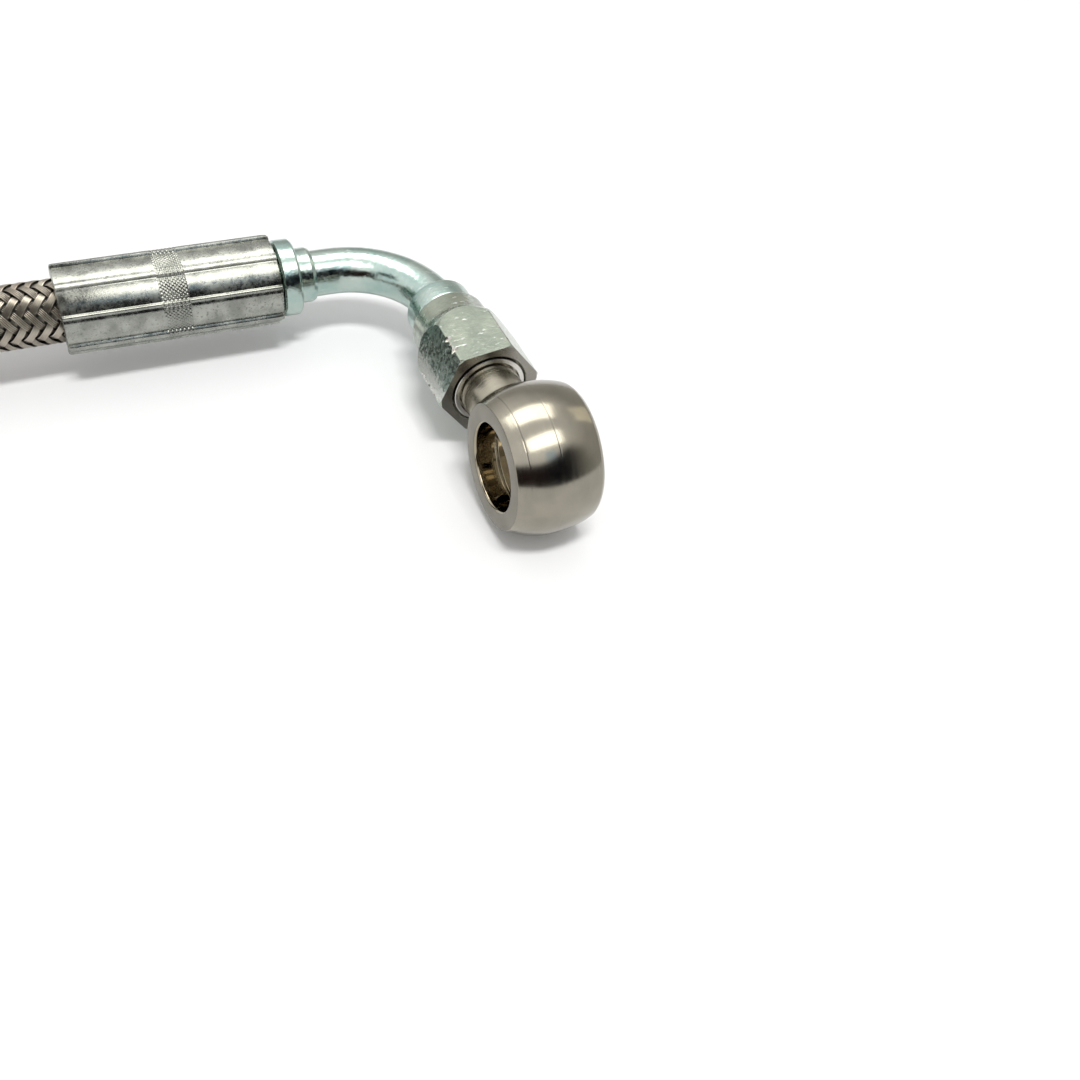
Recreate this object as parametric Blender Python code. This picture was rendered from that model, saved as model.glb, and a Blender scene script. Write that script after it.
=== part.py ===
# Turbo oil feed line: a stainless banjo eye on a 90 degree swivel elbow, a crimped
# braided hose wound in a coil, and a straight swivel fitting on its far end.
#
# Local frame of the line: the centre of the banjo eye stands over the origin, its bore
# runs along X, its neck along +Y, and the hose leaves the elbow's crimp shell along -X.
# All sizes are in metres, with +Z up.
import math

import bmesh
import bpy
from mathutils import Matrix, Vector

MM = 0.001

# Clearances
FIT = 0.2 * MM  # between sleeves that are pressed, crimped or brazed together
SEAT = 0.3 * MM  # between faces that meet end to end

# Banjo eye and its spigot
EYE_D = 20.8 * MM
EYE_WIDTH = 12.2 * MM
EYE_BALL_WIDTH = 10.0 * MM  # the truly round part between the two edge cuts
EYE_RIM_D = 17.2 * MM
BORE_D = 12.0 * MM
BORE_CHAMFER = 0.25 * MM
OIL_GROOVE_D = 13.4 * MM
OIL_GROOVE_WIDTH = 4.6 * MM
NECK_D = 8.9 * MM
NECK_REACH = 15.25 * MM  # from the eye's centre to the mouth of the nut
THREAD_D = 9.8 * MM
THREAD_LENGTH = 7.3 * MM
CONE_ANGLE = math.radians(37.0)
CONE_TIP_D = 4.6 * MM
CONE_BASE_D = 8.6 * MM
PASSAGE_D = 4.0 * MM

# Swivel nut
NUT_AF = 13.3 * MM
NUT_LENGTH = 16.3 * MM
SKIRT_D = 11.7 * MM
SKIRT_LENGTH = 3.5 * MM
SKIRT_EDGE = 0.6 * MM
SHOULDER_LENGTH = 4.9 * MM
MOUTH_D = 11.1 * MM
MOUTH_DEPTH = 1.3 * MM
FRONT_CHAMFER = 0.35 * MM
NUT_TURN = math.radians(38.4)
FAR_NUT_TURN = math.radians(30.0)

# Thrust wire that carries the nut
WIRE_D = 1.2 * MM
WIRE_RING_D = 9.2 * MM
WIRE_FROM_SKIRT = 1.65 * MM

# Cone nipple inside the nut
BAND_D = 10.2 * MM
BAND_LENGTH = 4.05 * MM
BAND_EDGE = 0.35 * MM
NIPPLE_D = 8.9 * MM
NIPPLE_BORE_D = 4.4 * MM
SOCKET_DEPTH = 3.8 * MM

# Elbow tube
TUBE_D = 7.0 * MM
TUBE_BORE_D = 4.4 * MM
BEND_RADIUS = 13.1 * MM  # of the tube's centre line
STUB_LENGTH = 2.9 * MM

# Hose stem
STEM_BORE_D = 3.8 * MM
TAIL_D = 5.8 * MM
TAIL_ROOT_D = 5.2 * MM
TAIL_START = 3.0 * MM
BARBS = 4
BARB_PITCH = 5.2 * MM
BARB_FLANK = 0.5 * MM
LOCK_RING_D = 7.8 * MM
LOCK_RING_WIDTH = 1.4 * MM
LOCK_GROOVE_D = 6.0 * MM
COLLAR_D = 11.5 * MM
COLLAR_LENGTH = 2.9 * MM
COLLAR_EDGE = 0.35 * MM
SMALL_COLLAR_D = 8.3 * MM
SMALL_COLLAR_LENGTH = 2.65 * MM
SMALL_COLLAR_CHAMFER = 0.55 * MM
FAR_NECK_LENGTH = 2.4 * MM

# Crimp shell
SHELL_LENGTH = 31.2 * MM
SHELL_BORE_D = 9.4 * MM
SHELL_RIDGE_D = 13.6 * MM
SHELL_FLAT_D = 12.7 * MM
SHELL_SIDES = 8
SHELL_TURN = math.radians(25.0)
FAR_SHELL_TURN = math.radians(22.5)
SHELL_END_ROUND = 0.5 * MM
LIP_LENGTH = 2.9 * MM
LIP_D = 6.6 * MM

# Hose
HOSE_D = 9.0 * MM
BRAID_WALL = 0.5 * MM
LINER_WALL = 0.7 * MM
COIL_RADIUS = 48.0 * MM
COIL_X = -131.0 * MM  # the coil's centre, from the eye's
LEAD_DROP = 4.4 * MM  # how far the hose comes down before the tie
TIE_LIFT = 1.4 * MM  # how far the tie keeps the lowest turn off the floor
LAYER = 9.2 * MM  # from one turn to the turn on top of it
CLIMB_START = math.radians(-100.0)  # where the first turn starts to rise over the hose that comes in
CLIMB_END = math.radians(-14.0)
COIL_TURNS = 1.25
HOSE_JOIN = 2.0 * MM  # how far from the round the straight hose is divided
TAIL_REACH = 66.0 * MM  # from the coil to the far crimp shell
TAIL_LEVEL = 10.0 * MM  # how far the tail stays up before it comes down
POINT_SPACING = 20.0 * MM

# Cable tie
TIE_WIDTH = 3.4 * MM
TIE_THICKNESS = 1.0 * MM
TIE_ANGLE = math.radians(45.0)
TIE_SLACK = 0.3 * MM
TIE_HEAD = (3.6 * MM, 4.8 * MM, 4.6 * MM)  # outwards, along the hose, up
TIE_HEAD_HEIGHT = 10.4 * MM
TIE_END = 2.2 * MM

# Places along the swivel's axis, measured from the end of the elbow's bend
SKIRT_START = BAND_LENGTH + 2 * SEAT
MOUTH_AT = SKIRT_START + NUT_LENGTH
EYE_FROM_BEND = MOUTH_AT + NECK_REACH

# Places along the hose end's axis, measured from the shell's mouth
COLLAR_START = SHELL_LENGTH + SEAT
SOCKET_START = COLLAR_START + 0.4 * COLLAR_LENGTH
STEM_FRONT = COLLAR_START + COLLAR_LENGTH + SMALL_COLLAR_LENGTH
LOCK_GROOVE_START = SHELL_LENGTH - LIP_LENGTH - SEAT
SLEEVE_END = LOCK_GROOVE_START - LOCK_RING_WIDTH - SEAT

# Places in the line's own frame
AXIS_Z = EYE_D / 2
BEND_END = Vector((0, EYE_FROM_BEND, AXIS_Z))
BEND_START = BEND_END + Vector((-BEND_RADIUS, BEND_RADIUS, 0))
HOSE_MOUTH = BEND_START - Vector((STUB_LENGTH + STEM_FRONT, 0, 0))
COIL_CENTRE = Vector((COIL_X, HOSE_MOUTH.y - COIL_RADIUS, 0))
FAR_AXIS_Z = NUT_AF / 2
FAR_MOUTH = Vector((COIL_X - COIL_RADIUS, COIL_CENTRE.y - TAIL_REACH, FAR_AXIS_Z))

# How finely round pieces are divided
EYE_STEPS = 56
ROUND_STEPS = 40
SMALL_STEPS = 24
BEND_STEPS = 14
STEPS_PER_SIDE = 8  # round the crimp shell


def clear_scene():
    for item in list(bpy.data.objects):
        bpy.data.objects.remove(item, do_unlink=True)


def make_material(name, colour, metallic, roughness):
    material = bpy.data.materials.new(name)
    material.use_nodes = True
    shader = material.node_tree.nodes["Principled BSDF"]
    shader.inputs["Base Color"].default_value = (*colour, 1.0)
    shader.inputs["Metallic"].default_value = metallic
    shader.inputs["Roughness"].default_value = roughness
    return material


def make_empty(name, parent, location, rotation=(0, 0, 0)):
    empty = bpy.data.objects.new(name, None)
    bpy.context.collection.objects.link(empty)
    empty.parent = parent
    empty.location = location
    empty.rotation_euler = rotation
    return empty


def make_object(name, data, parent, material=None, location=(0, 0, 0), rotation=(0, 0, 0)):
    item = bpy.data.objects.new(name, data)
    bpy.context.collection.objects.link(item)
    item.parent = parent
    item.location = location
    item.rotation_euler = rotation
    if material:
        data.materials.append(material)
    return item


def finish_mesh(bm, name, sharp_angle=35):
    """Close up a bmesh and turn it into a mesh with smooth round faces and sharp edges."""
    bmesh.ops.remove_doubles(bm, verts=bm.verts, dist=1e-6)
    bmesh.ops.recalc_face_normals(bm, faces=bm.faces)
    mesh = bpy.data.meshes.new(name)
    bm.to_mesh(mesh)
    bm.free()
    mesh.shade_smooth()
    mesh.set_sharp_from_angle(angle=math.radians(sharp_angle))
    return mesh


def turned(name, profile, steps=ROUND_STEPS, closed=True):
    """Spin a profile of (height, radius) points round Z. An open one ends on the axis."""
    bm = bmesh.new()
    verts = [bm.verts.new((radius, 0, height)) for height, radius in profile]
    pairs = list(zip(verts, verts[1:]))
    if closed:
        pairs.append((verts[-1], verts[0]))
    edges = [bm.edges.new(pair) for pair in pairs]
    bmesh.ops.spin(
        bm,
        geom=verts + edges,
        cent=(0, 0, 0),
        axis=(0, 0, 1),
        angle=2 * math.pi,
        steps=steps,
        use_merge=True,
    )
    return finish_mesh(bm, name)


def arc(centre, radius, start, end, steps):
    """Points on an arc of a profile, angles in degrees from the +height direction."""
    points = []
    for step in range(steps + 1):
        angle = math.radians(start + (end - start) * step / steps)
        points.append((centre[0] + radius * math.cos(angle), centre[1] + radius * math.sin(angle)))
    return points


def add_boolean(item, tool, operation):
    """Use a hidden object to cut, join or trim another one."""
    tool.hide_render = True
    tool.display_type = "WIRE"
    modifier = item.modifiers.new(tool.name, "BOOLEAN")
    modifier.operation = operation
    modifier.solver = "EXACT"
    modifier.object = tool


def cylinder_mesh(name, diameter, length, steps=SMALL_STEPS):
    """A cylinder that starts at the origin and runs along +Z."""
    return turned(
        name,
        [(0, 0), (0, diameter / 2), (length, diameter / 2), (length, 0)],
        steps,
        closed=False,
    )


def eye_profile():
    """Half section of the eye: a ball between two edge cuts and two flats."""
    half, ball_half, ball_r = EYE_WIDTH / 2, EYE_BALL_WIDTH / 2, EYE_D / 2
    edge = math.degrees(math.acos(ball_half / ball_r))
    ball = arc((0, 0), ball_r, 180 - edge, edge, 14)
    return [(-half, 0), (-half, EYE_RIM_D / 2), *ball, (half, EYE_RIM_D / 2), (half, 0)]


def bore_profile():
    """The bolt's hole with its chamfers and the oil groove round its middle."""
    half, bore, over = EYE_WIDTH / 2, BORE_D / 2, 1.0 * MM
    groove_r, groove_half = OIL_GROOVE_D / 2, OIL_GROOVE_WIDTH / 2
    step = groove_r - bore
    side = [
        (groove_half, groove_r),
        (groove_half + step, bore),
        (half - BORE_CHAMFER, bore),
        (half + over, bore + BORE_CHAMFER + over),
    ]
    mirrored = [(-height, radius) for height, radius in reversed(side)]
    return [(-half - over, 0), *mirrored, *side, (half + over, 0)]


def cone_length():
    return (CONE_BASE_D - CONE_TIP_D) / 2 / math.tan(CONE_ANGLE)


def spigot_profile():
    """From inside the eye out to the tip of the cone: neck, thread and cone."""
    thread_end = NECK_REACH + THREAD_LENGTH
    chamfer = (THREAD_D - CONE_BASE_D) / 2
    cone_end = thread_end + cone_length()
    root = BORE_D / 2 + 1.0 * MM
    return [
        (root, 0),
        (root, NECK_D / 2),
        (NECK_REACH, NECK_D / 2),
        (NECK_REACH, THREAD_D / 2),
        (thread_end - chamfer, THREAD_D / 2),
        (thread_end, CONE_BASE_D / 2),
        (cone_end, CONE_TIP_D / 2),
        (cone_end, 0),
    ]


def build_banjo(parent, material):
    """One turned and drilled piece: eye, neck, threaded spigot and cone."""
    across = (0, math.pi / 2, 0)
    along = (-math.pi / 2, 0, 0)
    drill_length = NECK_REACH + THREAD_LENGTH + 2 * cone_length()
    meshes = (
        turned("banjo_eye", eye_profile(), EYE_STEPS, False),
        turned("spigot_blank", spigot_profile(), ROUND_STEPS, False),
        turned("bolt_bore", bore_profile(), ROUND_STEPS, False),
        cylinder_mesh("oil_passage", PASSAGE_D, drill_length, 16),
    )
    eye = make_object("banjo_fitting", meshes[0], parent, material, rotation=across)
    spigot = make_object("spigot_blank", meshes[1], parent, rotation=along)
    bore = make_object("bolt_bore", meshes[2], parent, rotation=across)
    drill = make_object("oil_passage", meshes[3], parent, rotation=along)
    add_boolean(eye, spigot, "UNION")
    add_boolean(eye, bore, "DIFFERENCE")
    add_boolean(eye, drill, "DIFFERENCE")


def wire_groove(start_angle, end_angle, at):
    """Half of the wire's round groove, seen from the nipple or from the nut."""
    return arc((at, WIRE_RING_D / 2), WIRE_D / 2 + FIT, start_angle, end_angle, 6)


def nut_profile():
    """Skirt, shoulder and hexagon's corners outside; wire groove, thread and mouth inside."""
    corner = NUT_AF / math.sqrt(3)
    hex_start = SKIRT_LENGTH + SHOULDER_LENGTH
    neck = NIPPLE_D / 2 + FIT
    thread = THREAD_D / 2 + FIT
    shoulder = []
    for share in (0.25, 0.5, 0.75):
        rise = math.sin(share * math.pi / 2) ** 1.2
        height = SKIRT_LENGTH + share * SHOULDER_LENGTH
        shoulder.append((height, SKIRT_D / 2 + (corner - SKIRT_D / 2) * rise))
    groove = [(h, r) for h, r in wire_groove(180, 0, WIRE_FROM_SKIRT) if r > neck]
    thread_start = WIRE_FROM_SKIRT + WIRE_D + 3 * FIT
    return [
        (0, neck),
        (0, SKIRT_D / 2 - SKIRT_EDGE),
        (0.3 * SKIRT_EDGE, SKIRT_D / 2 - 0.3 * SKIRT_EDGE),
        (SKIRT_EDGE, SKIRT_D / 2),
        (SKIRT_LENGTH, SKIRT_D / 2),
        *shoulder,
        (hex_start, corner),
        (NUT_LENGTH - FRONT_CHAMFER, corner),
        (NUT_LENGTH, corner - FRONT_CHAMFER),
        (NUT_LENGTH, MOUTH_D / 2),
        (NUT_LENGTH - MOUTH_DEPTH, MOUTH_D / 2),
        (NUT_LENGTH - MOUTH_DEPTH, thread),
        (thread_start, thread),
        (thread_start, neck),
        *reversed(groove),
    ]


def build_nut(prefix, parent, material, start, turn):
    """A round turned blank trimmed by a hexagonal bar."""
    name = prefix + "swivel_nut"
    nut = make_object(name, turned(name, nut_profile()), parent, material, (0, 0, start))
    bm = bmesh.new()
    bmesh.ops.create_circle(bm, cap_ends=True, radius=NUT_AF / math.sqrt(3), segments=6)
    over = 1.0 * MM
    bar = bmesh.ops.extrude_face_region(bm, geom=list(bm.faces))
    bar_verts = [v for v in bar["geom"] if isinstance(v, bmesh.types.BMVert)]
    bmesh.ops.translate(bm, verts=bar_verts, vec=(0, 0, NUT_LENGTH + 2 * over))
    bar_mesh = finish_mesh(bm, prefix + "hexagon_bar")
    tool = make_object(bar_mesh.name, bar_mesh, parent, None, (0, 0, start - over), (0, 0, turn))
    add_boolean(nut, tool, "INTERSECT")


def build_wire(prefix, parent, material, skirt_start):
    name = prefix + "thrust_wire"
    ring = arc((0, WIRE_RING_D / 2), WIRE_D / 2, 0, 315, 7)
    place = (0, 0, skirt_start + WIRE_FROM_SKIRT)
    make_object(name, turned(name, ring, SMALL_STEPS), parent, material, place)


def seat_points(front):
    """The nipple's hollow cone, from its rim back to the bore, and where it starts."""
    rim = CONE_BASE_D / 2
    depth = (rim - NIPPLE_BORE_D / 2) / math.tan(CONE_ANGLE)
    return [(front, rim), (front - depth, NIPPLE_BORE_D / 2)]


def nipple_outside(band_start, skirt_start):
    """Band, body with the wire's groove, and front edge, from the back to the front."""
    band = BAND_D / 2
    band_end = skirt_start - SEAT
    body = NIPPLE_D / 2
    front = skirt_start + NUT_LENGTH - THREAD_LENGTH - SEAT / math.sin(CONE_ANGLE)
    groove = [(h, r) for h, r in wire_groove(180, 360, skirt_start + WIRE_FROM_SKIRT) if r < body]
    return [
        (band_start, band - BAND_EDGE),
        (band_start + BAND_EDGE, band),
        (band_end - BAND_EDGE, band),
        (band_end, band - BAND_EDGE),
        (band_end, body),
        *groove,
        (front, body),
        *seat_points(front),
    ]


def build_nipple(parent, material):
    """The elbow's end piece: the tube is brazed into its back, the nut turns on it."""
    socket = TUBE_D / 2 + FIT
    shape = [
        (SEAT, socket),
        *nipple_outside(SEAT, SKIRT_START),
        (SOCKET_DEPTH + SEAT, NIPPLE_BORE_D / 2),
        (SOCKET_DEPTH + SEAT, socket),
    ]
    make_object("cone_nipple", turned("cone_nipple", shape), parent, material)


def bent_rod(name, diameter, over, steps):
    """A rod along the elbow's centre line, this much longer at each end."""
    bm = bmesh.new()
    socket = STUB_LENGTH + STEM_FRONT - SOCKET_START - SEAT
    made = bmesh.ops.create_circle(bm, radius=diameter / 2, segments=steps)
    bmesh.ops.rotate(bm, verts=made["verts"], cent=(0, 0, 0), matrix=Matrix.Rotation(math.pi / 2, 3, "Y"))
    bmesh.ops.translate(bm, verts=made["verts"], vec=BEND_START - Vector((socket + over, 0, 0)))
    ring = list(bm.edges)
    bmesh.ops.edgeloop_fill(bm, edges=ring)
    ring = extrude_ring(bm, ring, Vector((socket + over, 0, 0)))
    swept = bmesh.ops.spin(
        bm,
        geom=ring,
        cent=BEND_END - Vector((BEND_RADIUS, 0, 0)),
        axis=(0, 0, -1),
        angle=math.pi / 2,
        steps=BEND_STEPS,
    )
    ring = [edge for edge in swept["geom_last"] if isinstance(edge, bmesh.types.BMEdge)]
    ring = extrude_ring(bm, ring, Vector((0, -SOCKET_DEPTH - over, 0)))
    bmesh.ops.edgeloop_fill(bm, edges=ring)
    return finish_mesh(bm, name)


def extrude_ring(bm, ring, offset):
    made = bmesh.ops.extrude_edge_only(bm, edges=ring)["geom"]
    verts = [item for item in made if isinstance(item, bmesh.types.BMVert)]
    bmesh.ops.translate(bm, verts=verts, vec=offset)
    moved = set(verts)
    return [item for item in made if isinstance(item, bmesh.types.BMEdge) and moved.issuperset(item.verts)]


def build_elbow(parent, material):
    """Bent tube: a bent rod with a thinner one taken out of it."""
    tube = make_object("elbow_tube", bent_rod("elbow_tube", TUBE_D, 0, 28), parent, material)
    hole = make_object("elbow_hole", bent_rod("elbow_hole", TUBE_BORE_D, 1.0 * MM, 16), parent)
    add_boolean(tube, hole, "DIFFERENCE")


def tail_outside():
    """Barbed tail, lock ring and lock groove, from the nose up to the collar."""
    points = [(TAIL_START, TAIL_ROOT_D / 2 - BARB_FLANK / 2)]
    for barb in range(BARBS):
        base = TAIL_START + barb * BARB_PITCH
        points.append((base + BARB_PITCH - BARB_FLANK, TAIL_D / 2))
        points.append((base + BARB_PITCH, TAIL_ROOT_D / 2))
    ring_start = LOCK_GROOVE_START - LOCK_RING_WIDTH
    return points + [
        (ring_start, TAIL_ROOT_D / 2),
        (ring_start, LOCK_RING_D / 2),
        (LOCK_GROOVE_START, LOCK_RING_D / 2),
        (LOCK_GROOVE_START, LOCK_GROOVE_D / 2),
        (COLLAR_START, LOCK_GROOVE_D / 2),
    ]


def collars_outside():
    """The big collar that the shell stops against and the small one in front of it."""
    big, small = COLLAR_D / 2, SMALL_COLLAR_D / 2
    collar_end = COLLAR_START + COLLAR_LENGTH
    return [
        (COLLAR_START, big - COLLAR_EDGE),
        (COLLAR_START + COLLAR_EDGE, big),
        (collar_end - COLLAR_EDGE, big),
        (collar_end, big - COLLAR_EDGE),
        (collar_end, small),
        (STEM_FRONT - SMALL_COLLAR_CHAMFER, small),
        (STEM_FRONT, small - SMALL_COLLAR_CHAMFER / 2),
    ]


def build_stem(parent, material):
    """The elbow's hose stem, with a socket in its front for the brazed tube."""
    socket = TUBE_D / 2 + FIT
    shape = [
        *tail_outside(),
        *collars_outside(),
        (STEM_FRONT, socket),
        (SOCKET_START, socket),
        (SOCKET_START, STEM_BORE_D / 2),
        (TAIL_START, STEM_BORE_D / 2),
    ]
    make_object("hose_stem", turned("hose_stem", shape), parent, material)


def build_far_stem(parent, material):
    """The straight stem: tail, collars, neck and cone nipple in one turned piece."""
    band_start = STEM_FRONT + FAR_NECK_LENGTH
    skirt_start = band_start + BAND_LENGTH + SEAT
    outside = nipple_outside(band_start, skirt_start)
    shape = [
        *tail_outside(),
        *collars_outside(),
        (STEM_FRONT, TUBE_D / 2),
        (band_start, TUBE_D / 2),
        *outside,
        (SHELL_LENGTH, NIPPLE_BORE_D / 2),
        (SHELL_LENGTH, STEM_BORE_D / 2),
        (TAIL_START, STEM_BORE_D / 2),
    ]
    make_object("far_hose_stem", turned("far_hose_stem", shape), parent, material)
    return skirt_start


def shell_profile():
    """Half section of the shell before it is crimped, with the lip at its front."""
    outer, edge = SHELL_RIDGE_D / 2, SHELL_END_ROUND
    lip_start = SHELL_LENGTH - LIP_LENGTH
    return [
        (0, SHELL_BORE_D / 2),
        (0, outer - edge),
        (0.3 * edge, outer - 0.3 * edge),
        (edge, outer),
        (SHELL_LENGTH - edge, outer),
        (SHELL_LENGTH - 0.3 * edge, outer - 0.3 * edge),
        (SHELL_LENGTH, outer - edge),
        (SHELL_LENGTH, LIP_D / 2),
        (lip_start, LIP_D / 2),
        (lip_start, SHELL_BORE_D / 2),
    ]


def press_flats(mesh):
    """Eight dies press the outside in and leave a narrow ridge between each two of them."""
    pressed = (SHELL_RIDGE_D - SHELL_FLAT_D) / 2
    step = 2 * math.pi / (SHELL_SIDES * STEPS_PER_SIDE)
    for vert in mesh.vertices:
        radius = math.hypot(vert.co.x, vert.co.y)
        if radius < SHELL_BORE_D / 2 + FIT:
            continue
        place = round(math.atan2(vert.co.y, vert.co.x) / step) % STEPS_PER_SIDE
        if place > 1:
            vert.co.x *= 1 - pressed / radius
            vert.co.y *= 1 - pressed / radius


def build_shell(prefix, parent, material, turn):
    name = prefix + "crimp_shell"
    mesh = turned(name, shell_profile(), SHELL_SIDES * STEPS_PER_SIDE)
    press_flats(mesh)
    mesh.set_sharp_from_angle(angle=math.radians(25))
    ridge_middle = math.pi / (SHELL_SIDES * STEPS_PER_SIDE)
    make_object(name, mesh, parent, material, rotation=(0, 0, turn - ridge_middle))


def sleeve(name, parent, material, outer_d, wall):
    """A cut end of one layer of the hose, squeezed between the stem and the shell."""
    outer = outer_d / 2
    shape = [(0, outer - wall), (0, outer), (SLEEVE_END, outer), (SLEEVE_END, outer - wall)]
    make_object(name, turned(name, shape, SMALL_STEPS), parent, material)


def build_hose_end(prefix, parent, materials, shell_turn):
    """What the crimp holds together: shell, braid and liner."""
    liner_d = HOSE_D - 2 * BRAID_WALL - 2 * FIT
    build_shell(prefix, parent, materials["crimped"], shell_turn)
    sleeve(prefix + "braid_end", parent, materials["braid"], HOSE_D, BRAID_WALL)
    sleeve(prefix + "liner_end", parent, materials["liner"], liner_d, LINER_WALL)


def ease(share):
    share = min(max(share, 0.0), 1.0)
    return share * share * (3 - 2 * share)


def coil_point(angle, height):
    """A point of the coil, with angle 0 where the hose comes in and 90 degrees further left."""
    return COIL_CENTRE + Vector((-COIL_RADIUS * math.sin(angle), COIL_RADIUS * math.cos(angle), height))


def low_height(angle):
    """The lowest turn lies on the floor, apart from where the tie is under it."""
    lift = TIE_LIFT * (1 - ease((abs(angle - TIE_ANGLE) / math.radians(40)) - 0.35))
    return HOSE_D / 2 + lift


def lead_points():
    """From the shell's mouth straight out, then down onto the floor beside the coil."""
    start = HOSE_MOUTH + Vector((-SEAT, 0, 0))
    end = coil_point(0, low_height(0))
    length = start.x - end.x
    points = []
    steps = 14
    for step in range(steps + 1):
        run = (length - HOSE_JOIN - SEAT) * step / steps
        drop = (start.z - end.z) * ease((run - HOSE_D) / (length - 2 * HOSE_D))
        points.append(Vector((start.x - run, start.y, start.z - drop)))
    return points


def coil_points():
    """One turn on the floor that climbs over the hose that comes in, then a quarter turn on top."""
    turn = 2 * math.pi
    steps = 90
    points = [coil_point(0, low_height(0)) + Vector((HOSE_JOIN, 0, 0))]
    for step in range(steps + 1):
        angle = COIL_TURNS * turn * step / steps
        low = low_height(angle if angle < math.pi else angle - turn)
        climbed = ease((angle - turn - CLIMB_START) / (CLIMB_END - CLIMB_START))
        points.append(coil_point(angle, low + LAYER * climbed))
    return points + [points[-1] + Vector((0, -HOSE_JOIN, 0))]


def tail_points():
    """Off the top of the coil, level at first, then down to the far fitting."""
    top = coil_point(math.pi / 2, low_height(math.pi / 2) + LAYER)
    start = HOSE_JOIN + SEAT
    points = []
    steps = 10
    for step in range(steps + 1):
        run = start + (TAIL_REACH - SEAT - start) * step / steps
        fallen = ease((run - TAIL_LEVEL) / (TAIL_REACH - TAIL_LEVEL - HOSE_D))
        height = top.z + (FAR_AXIS_Z - top.z) * fallen
        points.append(Vector((top.x, top.y - run, height)))
    return points


def build_hose(name, points, parent, material):
    curve = bpy.data.curves.new(name, "CURVE")
    curve.dimensions = "3D"
    curve.bevel_depth = HOSE_D / 2
    curve.bevel_resolution = 3
    curve.use_fill_caps = True
    spline = curve.splines.new("POLY")
    spline.points.add(len(points) - 1)
    for slot, point in zip(spline.points, points):
        slot.co = (*point, 1)
    make_object(name, curve, parent, material)


def tie_place():
    """Where the tie goes round the two turns, and the height of the middle of both."""
    low = low_height(TIE_ANGLE)
    return coil_point(TIE_ANGLE, low + LAYER / 2)


def racetrack(name, offset, width):
    """A prism round two stacked turns, this far outside them."""
    bm = bmesh.new()
    radius = HOSE_D / 2 + offset
    verts = []
    for centre, start in ((LAYER / 2, 0), (-LAYER / 2, 180)):
        for height, side in arc((0, 0), radius, start, start + 180, 8):
            verts.append(bm.verts.new((height, -width / 2, centre + side)))
    outline = bm.faces.new(verts)
    made = bmesh.ops.extrude_face_region(bm, geom=[outline])["geom"]
    moved = [item for item in made if isinstance(item, bmesh.types.BMVert)]
    bmesh.ops.translate(bm, verts=moved, vec=(0, width, 0))
    return finish_mesh(bm, name)


def box_mesh(name, size, centre):
    bm = bmesh.new()
    bmesh.ops.create_cube(bm, size=1.0)
    bmesh.ops.scale(bm, vec=size, verts=bm.verts)
    bmesh.ops.translate(bm, vec=centre, verts=bm.verts)
    return finish_mesh(bm, name)


def build_tie(parent, material):
    """Strap, head and cut end of one moulded cable tie."""
    at = tie_place()
    turn = (0, 0, TIE_ANGLE + math.pi / 2)
    outer = HOSE_D / 2 + TIE_SLACK
    depth, width, height = TIE_HEAD
    head_at = (outer + depth / 2 + TIE_THICKNESS / 3, 0, TIE_HEAD_HEIGHT - at.z)
    end_at = (outer + depth * 0.62, 0, TIE_HEAD_HEIGHT - at.z)
    end_size = (TIE_THICKNESS, TIE_WIDTH * 0.9, height + 2 * TIE_END)
    strap = racetrack("coil_tie", TIE_SLACK + TIE_THICKNESS, TIE_WIDTH)
    tie = make_object("coil_tie", strap, parent, material, at, turn)
    hole = racetrack("tie_inside", TIE_SLACK, TIE_WIDTH + 2 * SEAT)
    add_boolean(tie, make_object("tie_inside", hole, parent, None, at, turn), "DIFFERENCE")
    head = box_mesh("tie_head", TIE_HEAD, head_at)
    add_boolean(tie, make_object("tie_head", head, parent, None, at, turn), "UNION")
    end = box_mesh("tie_end", end_size, end_at)
    add_boolean(tie, make_object("tie_end", end, parent, None, at, turn), "UNION")


def stand_on_origin(root, nodes):
    """Moves the whole line so that the fittings' box stands centred on the origin."""
    bpy.context.view_layer.update()
    depsgraph = bpy.context.evaluated_depsgraph_get()
    corners = []
    for name in nodes:
        item = bpy.data.objects[name].evaluated_get(depsgraph)
        corners += [item.matrix_world @ vert.co for vert in item.data.vertices]
    low = [min(corner[axis] for corner in corners) for axis in range(3)]
    high = [max(corner[axis] for corner in corners) for axis in range(3)]
    root.location = (-(low[0] + high[0]) / 2, -(low[1] + high[1]) / 2, -low[2])


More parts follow.
